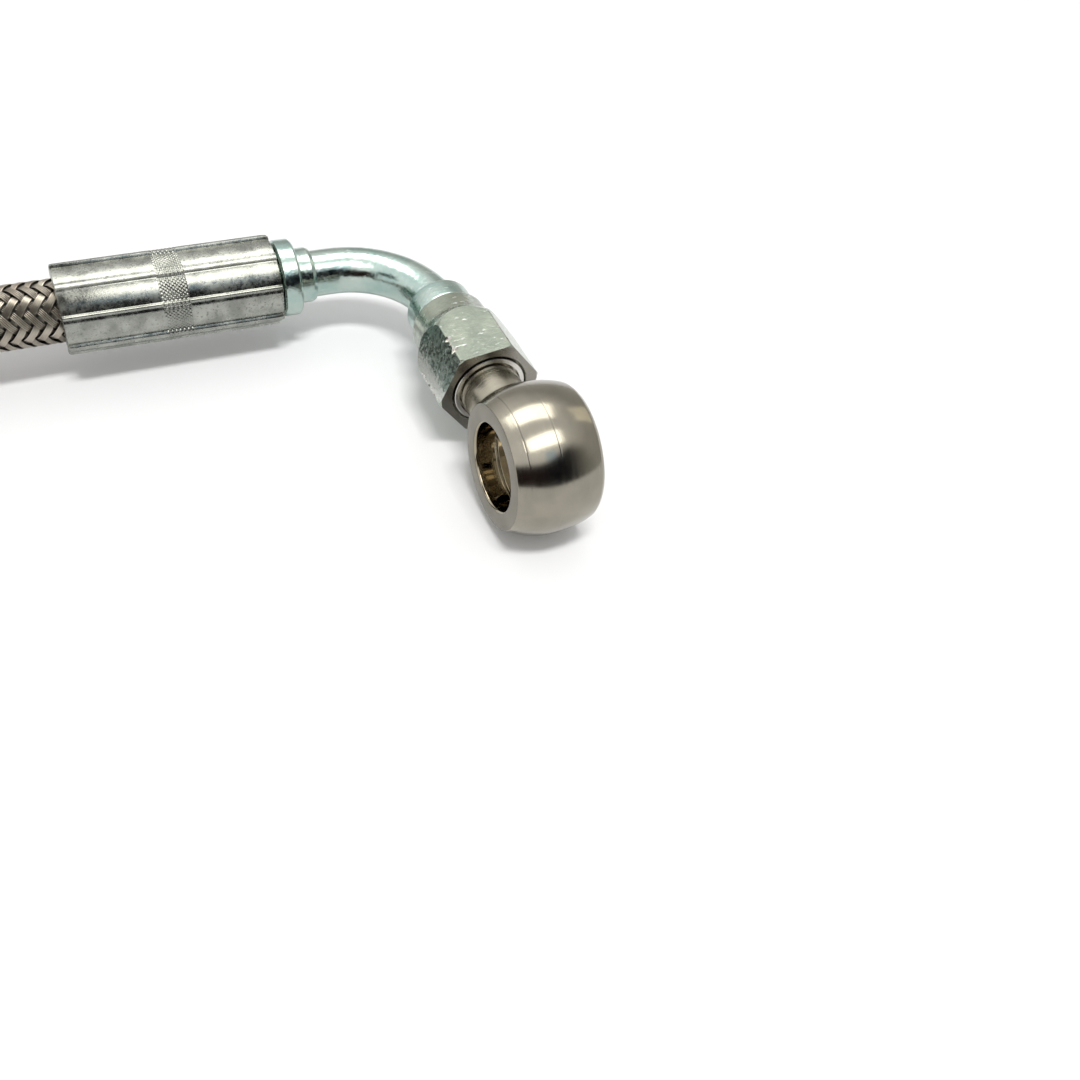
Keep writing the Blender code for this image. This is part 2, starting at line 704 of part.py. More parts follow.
def main():
    clear_scene()
    materials = {
        "stainless": make_material("satin_stainless", (0.50, 0.48, 0.45), 1.0, 0.28),
        "zinc": make_material("zinc_plated_steel", (0.62, 0.70, 0.69), 1.0, 0.25),
        "crimped": make_material("crimped_steel", (0.56, 0.56, 0.55), 1.0, 0.38),
        "braid": make_material("stainless_braid", (0.36, 0.33, 0.30), 1.0, 0.4),
        "liner": make_material("ptfe_liner", (0.85, 0.85, 0.82), 0.0, 0.45),
        "wire": make_material("spring_wire", (0.40, 0.40, 0.40), 1.0, 0.35),
        "nylon": make_material("black_nylon", (0.02, 0.02, 0.02), 0.0, 0.45),
    }
    root = make_empty("line_origin", None, (0, 0, 0))
    eye = make_empty("eye_centre", root, (0, 0, AXIS_Z))
    swivel = make_empty("swivel_axis", root, BEND_END, (math.pi / 2, 0, 0))
    near = make_empty("hose_end_axis", root, HOSE_MOUTH, (0, math.pi / 2, 0))
    far = make_empty("far_end_axis", root, FAR_MOUTH, (math.pi / 2, 0, 0))

    build_banjo(eye, materials["stainless"])
    build_nut("", swivel, materials["zinc"], SKIRT_START, NUT_TURN)
    build_wire("", swivel, materials["wire"], SKIRT_START)
    build_nipple(swivel, materials["zinc"])
    build_elbow(root, materials["zinc"])
    build_stem(near, materials["zinc"])
    build_hose_end("", near, materials, SHELL_TURN)

    build_hose("hose_lead", lead_points(), root, materials["braid"])
    build_hose("hose_coil", coil_points(), root, materials["braid"])
    build_hose("hose_top", tail_points(), root, materials["braid"])
    build_tie(root, materials["nylon"])

    build_hose_end("far_", far, materials, FAR_SHELL_TURN)
    far_skirt = build_far_stem(far, materials["zinc"])
    build_nut("far_", far, materials["zinc"], far_skirt, FAR_NUT_TURN)
    build_wire("far_", far, materials["wire"], far_skirt)

    stand_on_origin(root, ["banjo_fitting", "swivel_nut", "elbow_tube", "hose_stem", "crimp_shell"])


main()
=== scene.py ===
# Turbo oil feed line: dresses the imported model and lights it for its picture.
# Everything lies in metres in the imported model's own frame; the fittings' own sizes are in millimetres.
import math

import bmesh
import bpy
import numpy as np
from mathutils import Matrix, Vector


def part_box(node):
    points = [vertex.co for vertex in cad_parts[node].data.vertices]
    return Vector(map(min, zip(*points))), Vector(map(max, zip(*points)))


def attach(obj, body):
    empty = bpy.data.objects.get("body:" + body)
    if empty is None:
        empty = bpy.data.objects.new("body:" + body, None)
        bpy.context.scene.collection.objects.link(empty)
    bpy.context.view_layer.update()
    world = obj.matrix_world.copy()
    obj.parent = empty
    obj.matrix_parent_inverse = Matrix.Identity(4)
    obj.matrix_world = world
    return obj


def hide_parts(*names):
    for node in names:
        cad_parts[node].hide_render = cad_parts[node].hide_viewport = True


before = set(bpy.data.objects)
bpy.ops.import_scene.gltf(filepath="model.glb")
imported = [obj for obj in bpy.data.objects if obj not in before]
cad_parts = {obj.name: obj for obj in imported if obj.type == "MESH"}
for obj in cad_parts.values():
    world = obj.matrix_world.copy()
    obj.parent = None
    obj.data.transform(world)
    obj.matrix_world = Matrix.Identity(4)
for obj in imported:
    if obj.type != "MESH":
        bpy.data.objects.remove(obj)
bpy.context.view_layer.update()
mm = 0.001
perMm = 1000  # pattern cycles per millimetre, as a noise texture's Scale
seam = 0.3  # millimetres left between pieces that meet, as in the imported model


def addNode(tree, kind, settings=None, links=None):
    # one node with its settings; links feed its inputs from nodes or from their outputs
    node = tree.nodes.new(kind)
    for key, value in (settings or {}).items():
        if isinstance(key, str) and hasattr(node, key):
            setattr(node, key, value)
        else:
            node.inputs[key].default_value = value
    for key, source in (links or {}).items():
        socket = source if isinstance(source, bpy.types.NodeSocket) else source.outputs[0]
        tree.links.new(socket, node.inputs[key])
    return node


def linearColour(hexText):
    # sRGB hex to the linear values that sockets take
    channels = [int(hexText[i:i + 2], 16) / 255 for i in (0, 2, 4)]
    linear = [c / 12.92 if c <= 0.04045 else ((c + 0.055) / 1.055) ** 2.4 for c in channels]
    return (*linear, 1.0)


def startMaterial(name, metallic, roughness):
    # a material with its Principled shader and the piece's own coordinates
    material = bpy.data.materials.new(name)
    material.use_nodes = True
    tree = material.node_tree
    shader = tree.nodes["Principled BSDF"]
    shader.inputs["Metallic"].default_value = metallic
    shader.inputs["Roughness"].default_value = roughness
    coords = addNode(tree, "ShaderNodeTexCoord").outputs["Object"]
    return material, tree, shader, coords


def placeAlong(origin, direction, sideways):
    # matrix whose local Z runs along a direction and whose local X runs sideways
    z = Vector(direction).normalized()
    x = Vector(sideways).normalized()
    y = z.cross(x)
    return Matrix.Translation(origin) @ Matrix((x, y, z)).transposed().to_4x4()


def turnProfile(profile, steps, closed=True):
    # a bmesh turned round Z from (height, radius) points in millimetres
    bm = bmesh.new()
    verts = [bm.verts.new((radius * mm, 0, height * mm)) for height, radius in profile]
    pairs = list(zip(verts, verts[1:])) + ([(verts[-1], verts[0])] if closed else [])
    edges = [bm.edges.new(pair) for pair in pairs]
    bmesh.ops.spin(
        bm, geom=verts + edges, cent=(0, 0, 0), axis=(0, 0, 1), angle=2 * math.pi, steps=steps,
        use_merge=True,
    )
    return bm


def roundCorners(profile, radius, closed=True):
    # swaps each corner of a profile for a short arc, kept short where the sides are
    rounded = []
    count = len(profile)
    for i, point in enumerate(profile):
        before, after = profile[i - 1], profile[(i + 1) % count]
        here = Vector(point)
        if not closed and i in (0, count - 1):
            rounded.append(tuple(here))
            continue
        toBefore, toAfter = Vector(before) - here, Vector(after) - here
        cut = min(radius, 0.35 * toBefore.length, 0.35 * toAfter.length)
        if toBefore.angle(toAfter) > math.radians(165):
            rounded.append(tuple(here))
            continue
        start, end = here + toBefore.normalized() * cut, here + toAfter.normalized() * cut
        for share in (0, 0.33, 0.67, 1):
            rounded.append(tuple(start.lerp(here, share).lerp(here.lerp(end, share), share)))
    return rounded


def linkMesh(bm, name):
    mesh = bpy.data.meshes.new(name)
    bm.to_mesh(mesh)
    bm.free()
    item = bpy.data.objects.new(name, mesh)
    bpy.context.collection.objects.link(item)
    return item


def placeMesh(bm, name, matrix):
    # merges what meets, moves it into place and turns the faces out
    bmesh.ops.remove_doubles(bm, verts=bm.verts, dist=1e-7)
    bmesh.ops.transform(bm, matrix=matrix, verts=bm.verts)
    bmesh.ops.recalc_face_normals(bm, faces=bm.faces)
    return linkMesh(bm, name)


def finishPiece(bm, name, matrix, material, replaced=(), sharpAngle=30):
    # places a piece, smooths it and hands it to the frame
    piece = placeMesh(bm, name, matrix)
    piece.data.shade_smooth()
    piece.data.set_sharp_from_angle(angle=math.radians(sharpAngle))
    piece.data.materials.append(material)
    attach(piece, "root")
    if replaced:
        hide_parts(*replaced)
    return piece


def booleanPiece(piece, tools):
    # cuts or trims a piece for good, and clears its tools away
    for tool, operation in tools:
        modifier = piece.modifiers.new("cut", "BOOLEAN")
        modifier.operation = operation
        modifier.solver = "EXACT"
        modifier.object = tool
    evaluated = piece.evaluated_get(bpy.context.evaluated_depsgraph_get())
    result = bpy.data.meshes.new_from_object(evaluated)
    piece.modifiers.clear()
    piece.data = result
    for tool, operation in tools:
        bpy.data.objects.remove(tool)


# where the fittings lie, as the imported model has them, in millimetres
layout = {
    "eyeRadius": 10.4,  # the eye stands on its rim, and the fittings lie level with its middle
    "eyeToBend": (0, 36.2, 0),
    "acrossBend": (-13.1, 13.1, 0),
    "bendToHose": 39.95,
    "eyeToFarHose": (-179.0, -64.7, -3.75),
    "eyeToCoil": (-131.0, 1.3, -10.4),  # down to the floor
}
eyeLow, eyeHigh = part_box("banjo_fitting")
eyeRadius = layout["eyeRadius"] * mm
eyeCentre = Vector(((eyeLow.x + eyeHigh.x) / 2, eyeLow.y + eyeRadius, eyeRadius))
bendEnd = eyeCentre + Vector(layout["eyeToBend"]) * mm
bendStart = bendEnd + Vector(layout["acrossBend"]) * mm
hoseMouth = bendStart - Vector((layout["bendToHose"], 0, 0)) * mm
farMouth = eyeCentre + Vector(layout["eyeToFarHose"]) * mm
coilCentre = eyeCentre + Vector(layout["eyeToCoil"]) * mm

eyePlace = placeAlong(eyeCentre, (1, 0, 0), (0, 0, -1))
neckPlace = placeAlong(eyeCentre, (0, 1, 0), (1, 0, 0))
swivelPlace = placeAlong(bendEnd, (0, -1, 0), (1, 0, 0))
nearPlace = placeAlong(hoseMouth, (1, 0, 0), (0, 0, -1))
farPlace = placeAlong(farMouth, (0, -1, 0), (1, 0, 0))

# the camera, from a fit to the eye's rims and the nut
view = {
    "place": Vector((-56.144, -97.593, 101.009)) * mm,  # from the eye's centre
    "right": Vector((0.90438512, -0.41106163, 0.11452466)),
    "up": Vector((0.22733676, 0.69126676, 0.6859069)),
    "lens": 37.37,
    "sensor": 36.0,
}
cameraData = bpy.data.cameras.new("camera")
cameraData.lens = view["lens"]
cameraData.sensor_width = view["sensor"]
cameraData.clip_start = 0.01
camera = bpy.data.objects.new("camera", cameraData)
bpy.context.collection.objects.link(camera)
towardsUs = view["right"].cross(view["up"])
camera.matrix_world = (
    Matrix.Translation(eyeCentre + view["place"])
    @ Matrix((view["right"], view["up"], towardsUs)).transposed().to_4x4()
)
bpy.context.scene.camera = camera
bpy.context.scene.view_settings.view_transform = "Standard"
print("camera placed")

hose = {
    "diameter": 9.0 * mm,
    "coilRadius": 48.0 * mm,
    "layer": 9.2 * mm,
    "tieLift": 1.4 * mm,
    "tieAngle": math.radians(45),
    "tieSpread": math.radians(40),  # over which the turn rises on to the tie
    "tieLevel": 0.35,  # share of it that stays level
    "climbStart": math.radians(-100),  # where the first turn starts to rise over the lead
    "climbEnd": math.radians(-14),
    "tailReach": 66.0 * mm,
    "tailLevel": 10.0 * mm,
    "farHeight": 6.65 * mm,
    "carriers": 12,  # bundles wound each way
    "braidLead": 21.3 * mm,
    "braidRadius": 4.16 * mm,
    "braidWave": 0.26 * mm,
    "braidSquareness": 1.45,  # over 1, a bundle lies level before it dips under the next
    "bundleWidth": 0.98 * mm,
    "wiresInBundle": 4,  # real ones have six or seven; drawn coarser so that they can be seen
    "wireHeight": 0.17 * mm,
    "bundle": (  # a plain bundle's outline, in shares of its width and of the wire height
        (-0.5, -0.6), (-0.48, 0.5), (-0.25, 0.9), (0.25, 0.9), (0.48, 0.5), (0.5, -0.6),
    ),
    "intoShells": 1.5 * mm,
    "fineBraid": 24 * mm,  # from the near shell on, each wire has a shape of its own this far
    "coreRadius": 3.95 * mm,
    "leadPoints": 26,
    "turnPoints": 90,
    "topPoints": 22,
    "tailPoints": 22,
}


def ease(share):
    share = min(max(share, 0.0), 1.0)
    return share * share * (3 - 2 * share)


def lowHeight(angle):
    # the lowest turn lies on the floor, apart from where the tie is under it
    away = abs(angle - hose["tieAngle"]) / hose["tieSpread"]
    return hose["diameter"] / 2 + hose["tieLift"] * (1 - ease(away - hose["tieLevel"]))


def coilPoint(angle, height):
    radius = hose["coilRadius"]
    return coilCentre + Vector((-radius * math.sin(angle), radius * math.cos(angle), height))


def hoseRoute():
    # one route from the crimp shell round the coil to the far fitting
    points = []
    start = hoseMouth + Vector((-seam * mm, 0, 0))
    end = coilPoint(0, lowHeight(0))
    length = start.x - end.x
    for step in range(hose["leadPoints"]):
        run = length * step / hose["leadPoints"]
        drop = (start.z - end.z) * ease((run - hose["diameter"]) / (length - 2 * hose["diameter"]))
        points.append(start + Vector((-run, 0, -drop)))
    turn = 2 * math.pi
    rise = hose["climbEnd"] - hose["climbStart"]
    for step in range(hose["turnPoints"] + hose["topPoints"]):
        angle = turn * step / hose["turnPoints"]
        low = lowHeight(angle) if angle < math.pi else lowHeight(angle - turn)
        up = hose["layer"] * ease((angle - turn - hose["climbStart"]) / rise)
        points.append(coilPoint(angle, low + up))
    top = coilPoint(math.pi / 2, lowHeight(math.pi / 2) + hose["layer"])
    reach, level = hose["tailReach"], hose["tailLevel"]
    for step in range(hose["tailPoints"] + 1):
        run = (reach - seam * mm) * step / hose["tailPoints"]
        fallen = ease((run - level) / (reach - level - hose["diameter"]))
        points.append(Vector((top.x, top.y - run, top.z + (hose["farHeight"] - top.z) * fallen)))
    return points


def makeTrack(points):
    # the route as an array, with how far along it each point is
    line = np.array([tuple(p) for p in points])
    for _ in range(2):  # takes the last kinks out of where the stretches meet
        line[1:-1] = 0.25 * line[:-2] + 0.5 * line[1:-1] + 0.25 * line[2:]
    run = np.concatenate([[0], np.cumsum(np.linalg.norm(np.diff(line, axis=0), axis=1))])
    return line, run


def frameAt(track, where):
    # the place, side and up at some distances along a track
    line, run = track
    step = 0.4 * mm
    place = np.stack([np.interp(where, run, line[:, k]) for k in range(3)], axis=-1)
    inside = np.clip(where, step, run[-1] - step)
    ahead = np.stack([np.interp(inside + step, run, line[:, k]) for k in range(3)], axis=-1)
    behind = np.stack([np.interp(inside - step, run, line[:, k]) for k in range(3)], axis=-1)
    tangent = ahead - behind
    tangent /= np.linalg.norm(tangent, axis=-1, keepdims=True)
    # past either end the line runs straight on
    beyond = np.minimum(where, 0) + np.maximum(where - run[-1], 0)
    place = place + tangent * beyond[..., None]
    side = np.cross(tangent, np.array([0.0, 0.0, 1.0]))
    side /= np.linalg.norm(side, axis=-1, keepdims=True)
    up = np.cross(side, tangent)
    return place, side, up


def weave(phase):
    # over two, under two
    return np.clip(hose["braidSquareness"] * np.cos((phase - 0.5) * math.pi / 2), -1, 1)


def makeBraid(name, track, fromRun, toRun, perCrossing, wires, material):
    # every bundle is a flat strip with closed sides, wound over and under the others
    carriers, lead = hose["carriers"], hose["braidLead"]
    radius, wave, width = hose["braidRadius"], hose["braidWave"], hose["bundleWidth"]
    slope = math.atan2(2 * math.pi * radius, lead)
    across = list(hose["bundle"])
    if wires:
        count = hose["wiresInBundle"]
        across = [hose["bundle"][0]]
        for wire in range(count):
            for part in range(4):
                turn = math.pi * (part + 0.5) / 4
                across.append(((wire + 0.5 - 0.5 * math.cos(turn)) / count - 0.5, math.sin(turn)))
        across.append(hose["bundle"][-1])
    across = np.array(across)
    stations = int(round((toRun - fromRun) / lead * 2 * carriers * perCrossing)) + 1
    along = np.linspace(fromRun, toRun, stations)
    coords, faces, uvs = [], [], []
    for winding in (1, -1):
        for carrier in range(carriers):
            v = across[:, 0] * width
            lift = across[:, 1] * hose["wireHeight"]
            s = along[:, None] - winding * v[None, :] * math.sin(slope)
            theta = (
                2 * math.pi * carrier / carriers
                + winding * 2 * math.pi * along[:, None] / lead
                + v[None, :] * math.cos(slope) / radius
            )
            other = (theta + winding * 2 * math.pi * s / lead) * carriers / (2 * math.pi)
            r = radius + winding * wave * weave(other + carrier) + lift[None, :]
            s = np.clip(s, fromRun, toRun)
            place, side, up = frameAt(track, s)
            ring = np.cos(theta)[..., None] * side + np.sin(theta)[..., None] * up
            base = sum(len(c) for c in coords)
            coords.append((place + ring * r[..., None]).reshape(-1, 3))
            columns = len(across)
            for i in range(stations - 1):
                for j in range(columns):
                    k = (j + 1) % columns
                    a, b = base + i * columns + j, base + i * columns + k
                    quad = (a, b, b + columns, a + columns)
                    faces.append(quad if winding > 0 else quad[::-1])
            for end, first in ((0, True), (stations - 1, False)):
                cap = [base + end * columns + j for j in range(columns)]
                faces.append(cap[::-1] if first == (winding > 0) else cap)
            uvs.append(np.stack([
                np.broadcast_to(along[:, None] / mm, s.shape),
                np.broadcast_to(across[None, :, 0] + 0.5, s.shape),
            ], axis=-1).reshape(-1, 2))
    coords, uvs = np.concatenate(coords), np.concatenate(uvs)
    mesh = bpy.data.meshes.new(name)
    mesh.from_pydata(coords.tolist(), [], faces)
    layer = mesh.uv_layers.new(name="alongBundle")
    corner = np.empty(len(mesh.loops), dtype=np.int32)
    mesh.loops.foreach_get("vertex_index", corner)
    layer.data.foreach_set("uv", uvs[corner].ravel())
    mesh.shade_smooth()
    mesh.materials.append(material)
    piece = bpy.data.objects.new(name, mesh)
    bpy.context.collection.objects.link(piece)
    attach(piece, "root")
    return piece


def makeBraidSteel():
    # drawn stainless wire, dull from handling: warm grey, with painted shade near black in the valleys
    # between the wires
    material, tree, shader, coords = startMaterial("drawnStainlessWire", 1.0, 0.32)
    stain = addNode(
        tree, "ShaderNodeTexNoise", {"Scale": 0.35 * perMm, "Detail": 3}, {"Vector": coords},
    )
    patch = addNode(tree, "ShaderNodeMapRange", {"From Min": 0.35, "From Max": 0.65}, {"Value": stain})
    tint = addNode(
        tree, "ShaderNodeMix",
        {"data_type": "RGBA", 6: linearColour("b5ac9e"), 7: linearColour("ebe2d2")}, {0: patch},
    ).outputs[2]
    along = addNode(tree, "ShaderNodeUVMap", {"uv_map": "alongBundle"})
    split = addNode(tree, "ShaderNodeSeparateXYZ", None, {0: along})
    turn = hose["wiresInBundle"] * math.pi
    wires = addNode(tree, "ShaderNodeMath", {"operation": "MULTIPLY", 1: turn}, {0: split.outputs[1]})
    wave = addNode(tree, "ShaderNodeMath", {"operation": "SINE"}, {0: wires})
    height = addNode(tree, "ShaderNodeMath", {"operation": "ABSOLUTE"}, {0: wave})
    # painted shade: near black in the valleys between the wires, full colour on their tops
    clear = addNode(tree, "ShaderNodeMapRange", {"From Min": 0.4, "From Max": 0.95}, {"Value": height})
    paintedValleyShade = addNode(
        tree, "ShaderNodeMix", {"data_type": "RGBA", 6: linearColour("1d1a17")}, {0: clear, 7: tint},
    )
    tree.links.new(paintedValleyShade.outputs[2], shader.inputs["Base Color"])
    relief = addNode(
        tree, "ShaderNodeBump", {"Strength": 0.8, "Distance": 0.08 * mm}, {"Height": height},
    )
    tree.links.new(relief.outputs[0], shader.inputs["Normal"])
    return material


def makeLinerPlastic():
    # the liner under the braid: almost black and dull in the gaps between the bundles
    material, tree, shader, coords = startMaterial("shadedLiner", 0.0, 0.6)
    grime = addNode(tree, "ShaderNodeTexNoise", {"Scale": 0.8 * perMm}, {"Vector": coords})
    tint = addNode(
        tree, "ShaderNodeMix",
        {"data_type": "RGBA", 6: linearColour("080706"), 7: linearColour("161310")}, {0: grime},
    )
    tree.links.new(tint.outputs[2], shader.inputs["Base Color"])
    return material


braidSteel = makeBraidSteel()
route = hoseRoute()
track = makeTrack(route)
hoseLength = float(track[1][-1])
print("hose is", round(hoseLength, 4), "m long")

coreCurve = bpy.data.curves.new("hoseCore", "CURVE")
coreCurve.dimensions = "3D"
coreCurve.bevel_depth = hose["coreRadius"]
coreCurve.bevel_resolution = 6
coreCurve.use_fill_caps = True
spline = coreCurve.splines.new("POLY")
spline.points.add(len(track[0]) - 1)
for slotPoint, point in zip(spline.points, track[0]):
    slotPoint.co = (*point, 1)
hoseCore = bpy.data.objects.new("hoseCore", coreCurve)
bpy.context.collection.objects.link(hoseCore)
coreCurve.materials.append(makeLinerPlastic())
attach(hoseCore, "root")
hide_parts("hose_lead", "hose_coil", "hose_top")

nearEnd, inShell = hose["fineBraid"], hose["intoShells"]
middle = (nearEnd + hoseLength) / 2
braidNear = makeBraid("braidNear", track, -inShell, nearEnd, 4, True, braidSteel)
braidFirst = makeBraid("braidFirst", track, nearEnd, middle, 2, False, braidSteel)
braidLast = makeBraid("braidLast", track, middle, hoseLength + inShell, 2, False, braidSteel)
print("hose braided")


def makeTurnedStainless(name, axis, dark, light, roughness, lines=()):
    # stainless steel from the lathe: fine rings round its axis spread each highlight across them
    material, tree, shader, coords = startMaterial(name, 1.0, roughness[0])
    centred = addNode(
        tree, "ShaderNodeVectorMath", {"operation": "SUBTRACT", 1: eyeCentre}, {0: coords},
    )
    squeeze = [1.0 if part else 0.04 for part in axis]
    lathe = addNode(
        tree, "ShaderNodeVectorMath", {"operation": "MULTIPLY", 1: squeeze}, {0: centred},
    )
    rings = addNode(tree, "ShaderNodeTexNoise", {"Scale": 7 * perMm, "Detail": 4}, {"Vector": lathe})
    cloud = addNode(
        tree, "ShaderNodeTexNoise", {"Scale": 0.25 * perMm, "Detail": 3}, {"Vector": coords},
    )
    patch = addNode(tree, "ShaderNodeMapRange", {"From Min": 0.3, "From Max": 0.7}, {"Value": cloud})
    shade = addNode(
        tree, "ShaderNodeMix",
        {"data_type": "RGBA", 6: linearColour(dark), 7: linearColour(light)}, {0: patch},
    ).outputs[2]
    split = addNode(tree, "ShaderNodeSeparateXYZ", None, {0: centred})
    # the lines show where the light falls on them, near one height on the ball
    fromShine = addNode(
        tree, "ShaderNodeMath",
        {"operation": "SUBTRACT", 1: eye["shineHeight"] * mm}, {0: split.outputs[2]},
    )
    fromShine = addNode(tree, "ShaderNodeMath", {"operation": "ABSOLUTE"}, {0: fromShine})
    shown = addNode(
        tree, "ShaderNodeMapRange",
        {"From Min": 1 * mm, "From Max": 3 * mm, "To Min": 0.8, "To Max": 0.0}, {"Value": fromShine},
    )
    for line in lines:
        # painted shade along the step between two passes of the tool, where it breaks the highlight
        near = addNode(
            tree, "ShaderNodeMath",
            {"operation": "COMPARE", 1: line * mm, 2: eye["lineHalf"] * mm}, {0: split},
        )
        paintedLineShade = addNode(tree, "ShaderNodeMath", {"operation": "MULTIPLY"}, {0: near, 1: shown})
        shade = addNode(
            tree, "ShaderNodeMix",
            {"data_type": "RGBA", 7: linearColour("5b5751")}, {0: paintedLineShade, 6: shade},
        ).outputs[2]
    tree.links.new(shade, shader.inputs["Base Color"])
    rough = addNode(
        tree, "ShaderNodeMapRange",
        {"From Min": 0.3, "From Max": 0.7, "To Min": roughness[0], "To Max": roughness[1]},
        {"Value": rings},
    )
    tree.links.new(rough.outputs[0], shader.inputs["Roughness"])
    relief = addNode(
        tree, "ShaderNodeBump", {"Strength": 0.12, "Distance": 0.02 * mm}, {"Height": rings},
    )
    tree.links.new(relief.outputs[0], shader.inputs["Normal"])
    return material


def makeZincPlate(name, dark, light, scuffed, pitted=0.0, scrapedBelow=-9.0):
    # zinc plate under a clear blue passivate: pale and cool, broken up by a grain like fine frost
    # the real grain is finer than the picture can hold, so it is drawn about four times as coarse
    material, tree, shader, coords = startMaterial(name, 1.0, 0.2)
    grain = addNode(tree, "ShaderNodeTexNoise", {"Scale": 1.7 * perMm, "Detail": 3}, {"Vector": coords})
    blotch = addNode(
        tree, "ShaderNodeTexNoise", {"Scale": 0.28 * perMm, "Detail": 4}, {"Vector": coords},
    )
    patch = addNode(tree, "ShaderNodeMapRange", {"From Min": 0.36, "From Max": 0.64}, {"Value": blotch})
    shade = addNode(
        tree, "ShaderNodeMix",
        {"data_type": "RGBA", 6: linearColour(dark), 7: linearColour(light)}, {0: patch},
    ).outputs[2]
    # handling leaves short pale scuffs that run across the piece
    skewed = addNode(
        tree, "ShaderNodeVectorMath", {"operation": "MULTIPLY", 1: (0.5, 1.6, 1.6)}, {0: coords},
    )
    scuffs = addNode(
        tree, "ShaderNodeTexNoise",
        {"Scale": 0.9 * perMm, "Detail": 5, "Roughness": 0.65}, {"Vector": skewed},
    )
    worn = addNode(
        tree, "ShaderNodeMapRange",
        {"From Min": 0.6, "From Max": 0.68, "To Max": scuffed}, {"Value": scuffs},
    )
    shade = addNode(
        tree, "ShaderNodeMix", {"data_type": "RGBA", 7: linearColour("e9ecea")}, {0: worn, 6: shade},
    ).outputs[2]
    # below this height above the floor the plate is scraped, with a ragged limit
    height = addNode(tree, "ShaderNodeSeparateXYZ", None, {0: coords}).outputs[2]
    ragged = addNode(
        tree, "ShaderNodeMath", {"operation": "MULTIPLY_ADD", 1: 6 * mm}, {0: scuffs, 2: height},
    )
    kept = addNode(
        tree, "ShaderNodeMapRange",
        {"From Min": (scrapedBelow + 2.6) * mm, "From Max": (scrapedBelow + 3.4) * mm},
        {"Value": ragged},
    )
    shade = addNode(
        tree, "ShaderNodeMix", {"data_type": "RGBA", 6: linearColour("dfe2dc")}, {0: kept, 7: shade},
    ).outputs[2]
    # pits where the plate took on little zinc
    thin = addNode(
        tree, "ShaderNodeMapRange",
        {"From Min": 0.42, "From Max": 0.5, "To Min": pitted, "To Max": 0.0}, {"Value": grain},
    )
    pits = addNode(tree, "ShaderNodeMath", {"operation": "MULTIPLY"}, {0: thin, 1: kept})
    shade = addNode(
        tree, "ShaderNodeMix", {"data_type": "RGBA", 7: linearColour("3a4340")}, {0: pits, 6: shade},
    ).outputs[2]
    tree.links.new(shade, shader.inputs["Base Color"])
    rough = addNode(
        tree, "ShaderNodeMapRange",
        {"From Min": 0.3, "From Max": 0.7, "To Min": 0.12, "To Max": 0.26}, {"Value": grain},
    )
    dulled = addNode(
        tree, "ShaderNodeMath", {"operation": "MULTIPLY_ADD", 1: 0.25}, {0: worn, 2: rough},
    )
    tree.links.new(dulled.outputs[0], shader.inputs["Roughness"])
    relief = addNode(
        tree, "ShaderNodeBump", {"Strength": 0.7, "Distance": 0.05 * mm}, {"Height": grain},
    )
    tree.links.new(relief.outputs[0], shader.inputs["Normal"])
    return material


def makePressedSteel():
    # plated steel squeezed between dies: a soft shine under a bruised mottle, with a few dark specks
    material, tree, shader, coords = startMaterial("pressedPlatedSteel", 1.0, 0.26)
    grit = addNode(
        tree, "ShaderNodeTexNoise",
        {"Scale": 2.4 * perMm, "Detail": 5, "Roughness": 0.62}, {"Vector": coords},
    )
    blotch = addNode(tree, "ShaderNodeTexNoise", {"Scale": 0.4 * perMm, "Detail": 4}, {"Vector": coords})
    patch = addNode(tree, "ShaderNodeMapRange", {"From Min": 0.35, "From Max": 0.65}, {"Value": blotch})
    shade = addNode(
        tree, "ShaderNodeMix",
        {"data_type": "RGBA", 6: linearColour("848680"), 7: linearColour("a8aaa3")}, {0: patch},
    ).outputs[2]
    speck = addNode(
        tree, "ShaderNodeMapRange",
        {"From Min": 0.36, "From Max": 0.44, "To Min": 0.75, "To Max": 0.0}, {"Value": grit},
    )
    shade = addNode(
        tree, "ShaderNodeMix", {"data_type": "RGBA", 7: linearColour("6d6f6a")}, {0: speck, 6: shade},
    ).outputs[2]
    tree.links.new(shade, shader.inputs["Base Color"])
    both = addNode(tree, "ShaderNodeMath", {"operation": "ADD"}, {0: grit, 1: blotch})
    rough = addNode(
        tree, "ShaderNodeMapRange",
        {"From Min": 0.75, "From Max": 1.2, "To Min": 0.16, "To Max": 0.34}, {"Value": both},
    )
    tree.links.new(rough.outputs[0], shader.inputs["Roughness"])
    relief = addNode(tree, "ShaderNodeBump", {"Strength": 0.4, "Distance": 0.04 * mm}, {"Height": grit})
    tree.links.new(relief.outputs[0], shader.inputs["Normal"])
    return material


def makeSpringSteel():
    # drawn spring wire: mid grey, streaked
    material, tree, shader, coords = startMaterial("drawnSpringSteel", 1.0, 0.35)
    drawn = addNode(tree, "ShaderNodeTexNoise", {"Scale": 5 * perMm}, {"Vector": coords})
    tint = addNode(
        tree, "ShaderNodeMix",
        {"data_type": "RGBA", 6: linearColour("6b6b6b"), 7: linearColour("8d8d8c")}, {0: drawn},
    )
    tree.links.new(tint.outputs[2], shader.inputs["Base Color"])
    return material


eye = {  # in millimetres, as in the pieces below
    "radius": layout["eyeRadius"],
    "halfWidth": 6.1,
    "ballHalf": 5.0,  # the edge beyond it is cut straight on the side that faces us
    "rimRadius": 8.6,
    "farRimRadius": 9.0,
    "farFullness": 0.55,  # how far the ball stands out beyond a true one, on the side away from us
    "bore": 6.0,
    "boreChamfer": 0.25,
    "grooveRadius": 6.7,
    "grooveHalf": 2.3,
    "passage": 2.0,
    "passageFrom": 3.0,
    "passageTo": 11.5,
    "passageSteps": 48,
    "rounding": 0.12,
    "lines": (-4.4, -0.3),  # where two passes of the tool meet
    "lineHalf": 0.07,
    "lineDepth": 0.012,
    "shineHeight": 7,
    "ballSteps": 24,
    "steps": 192,
}


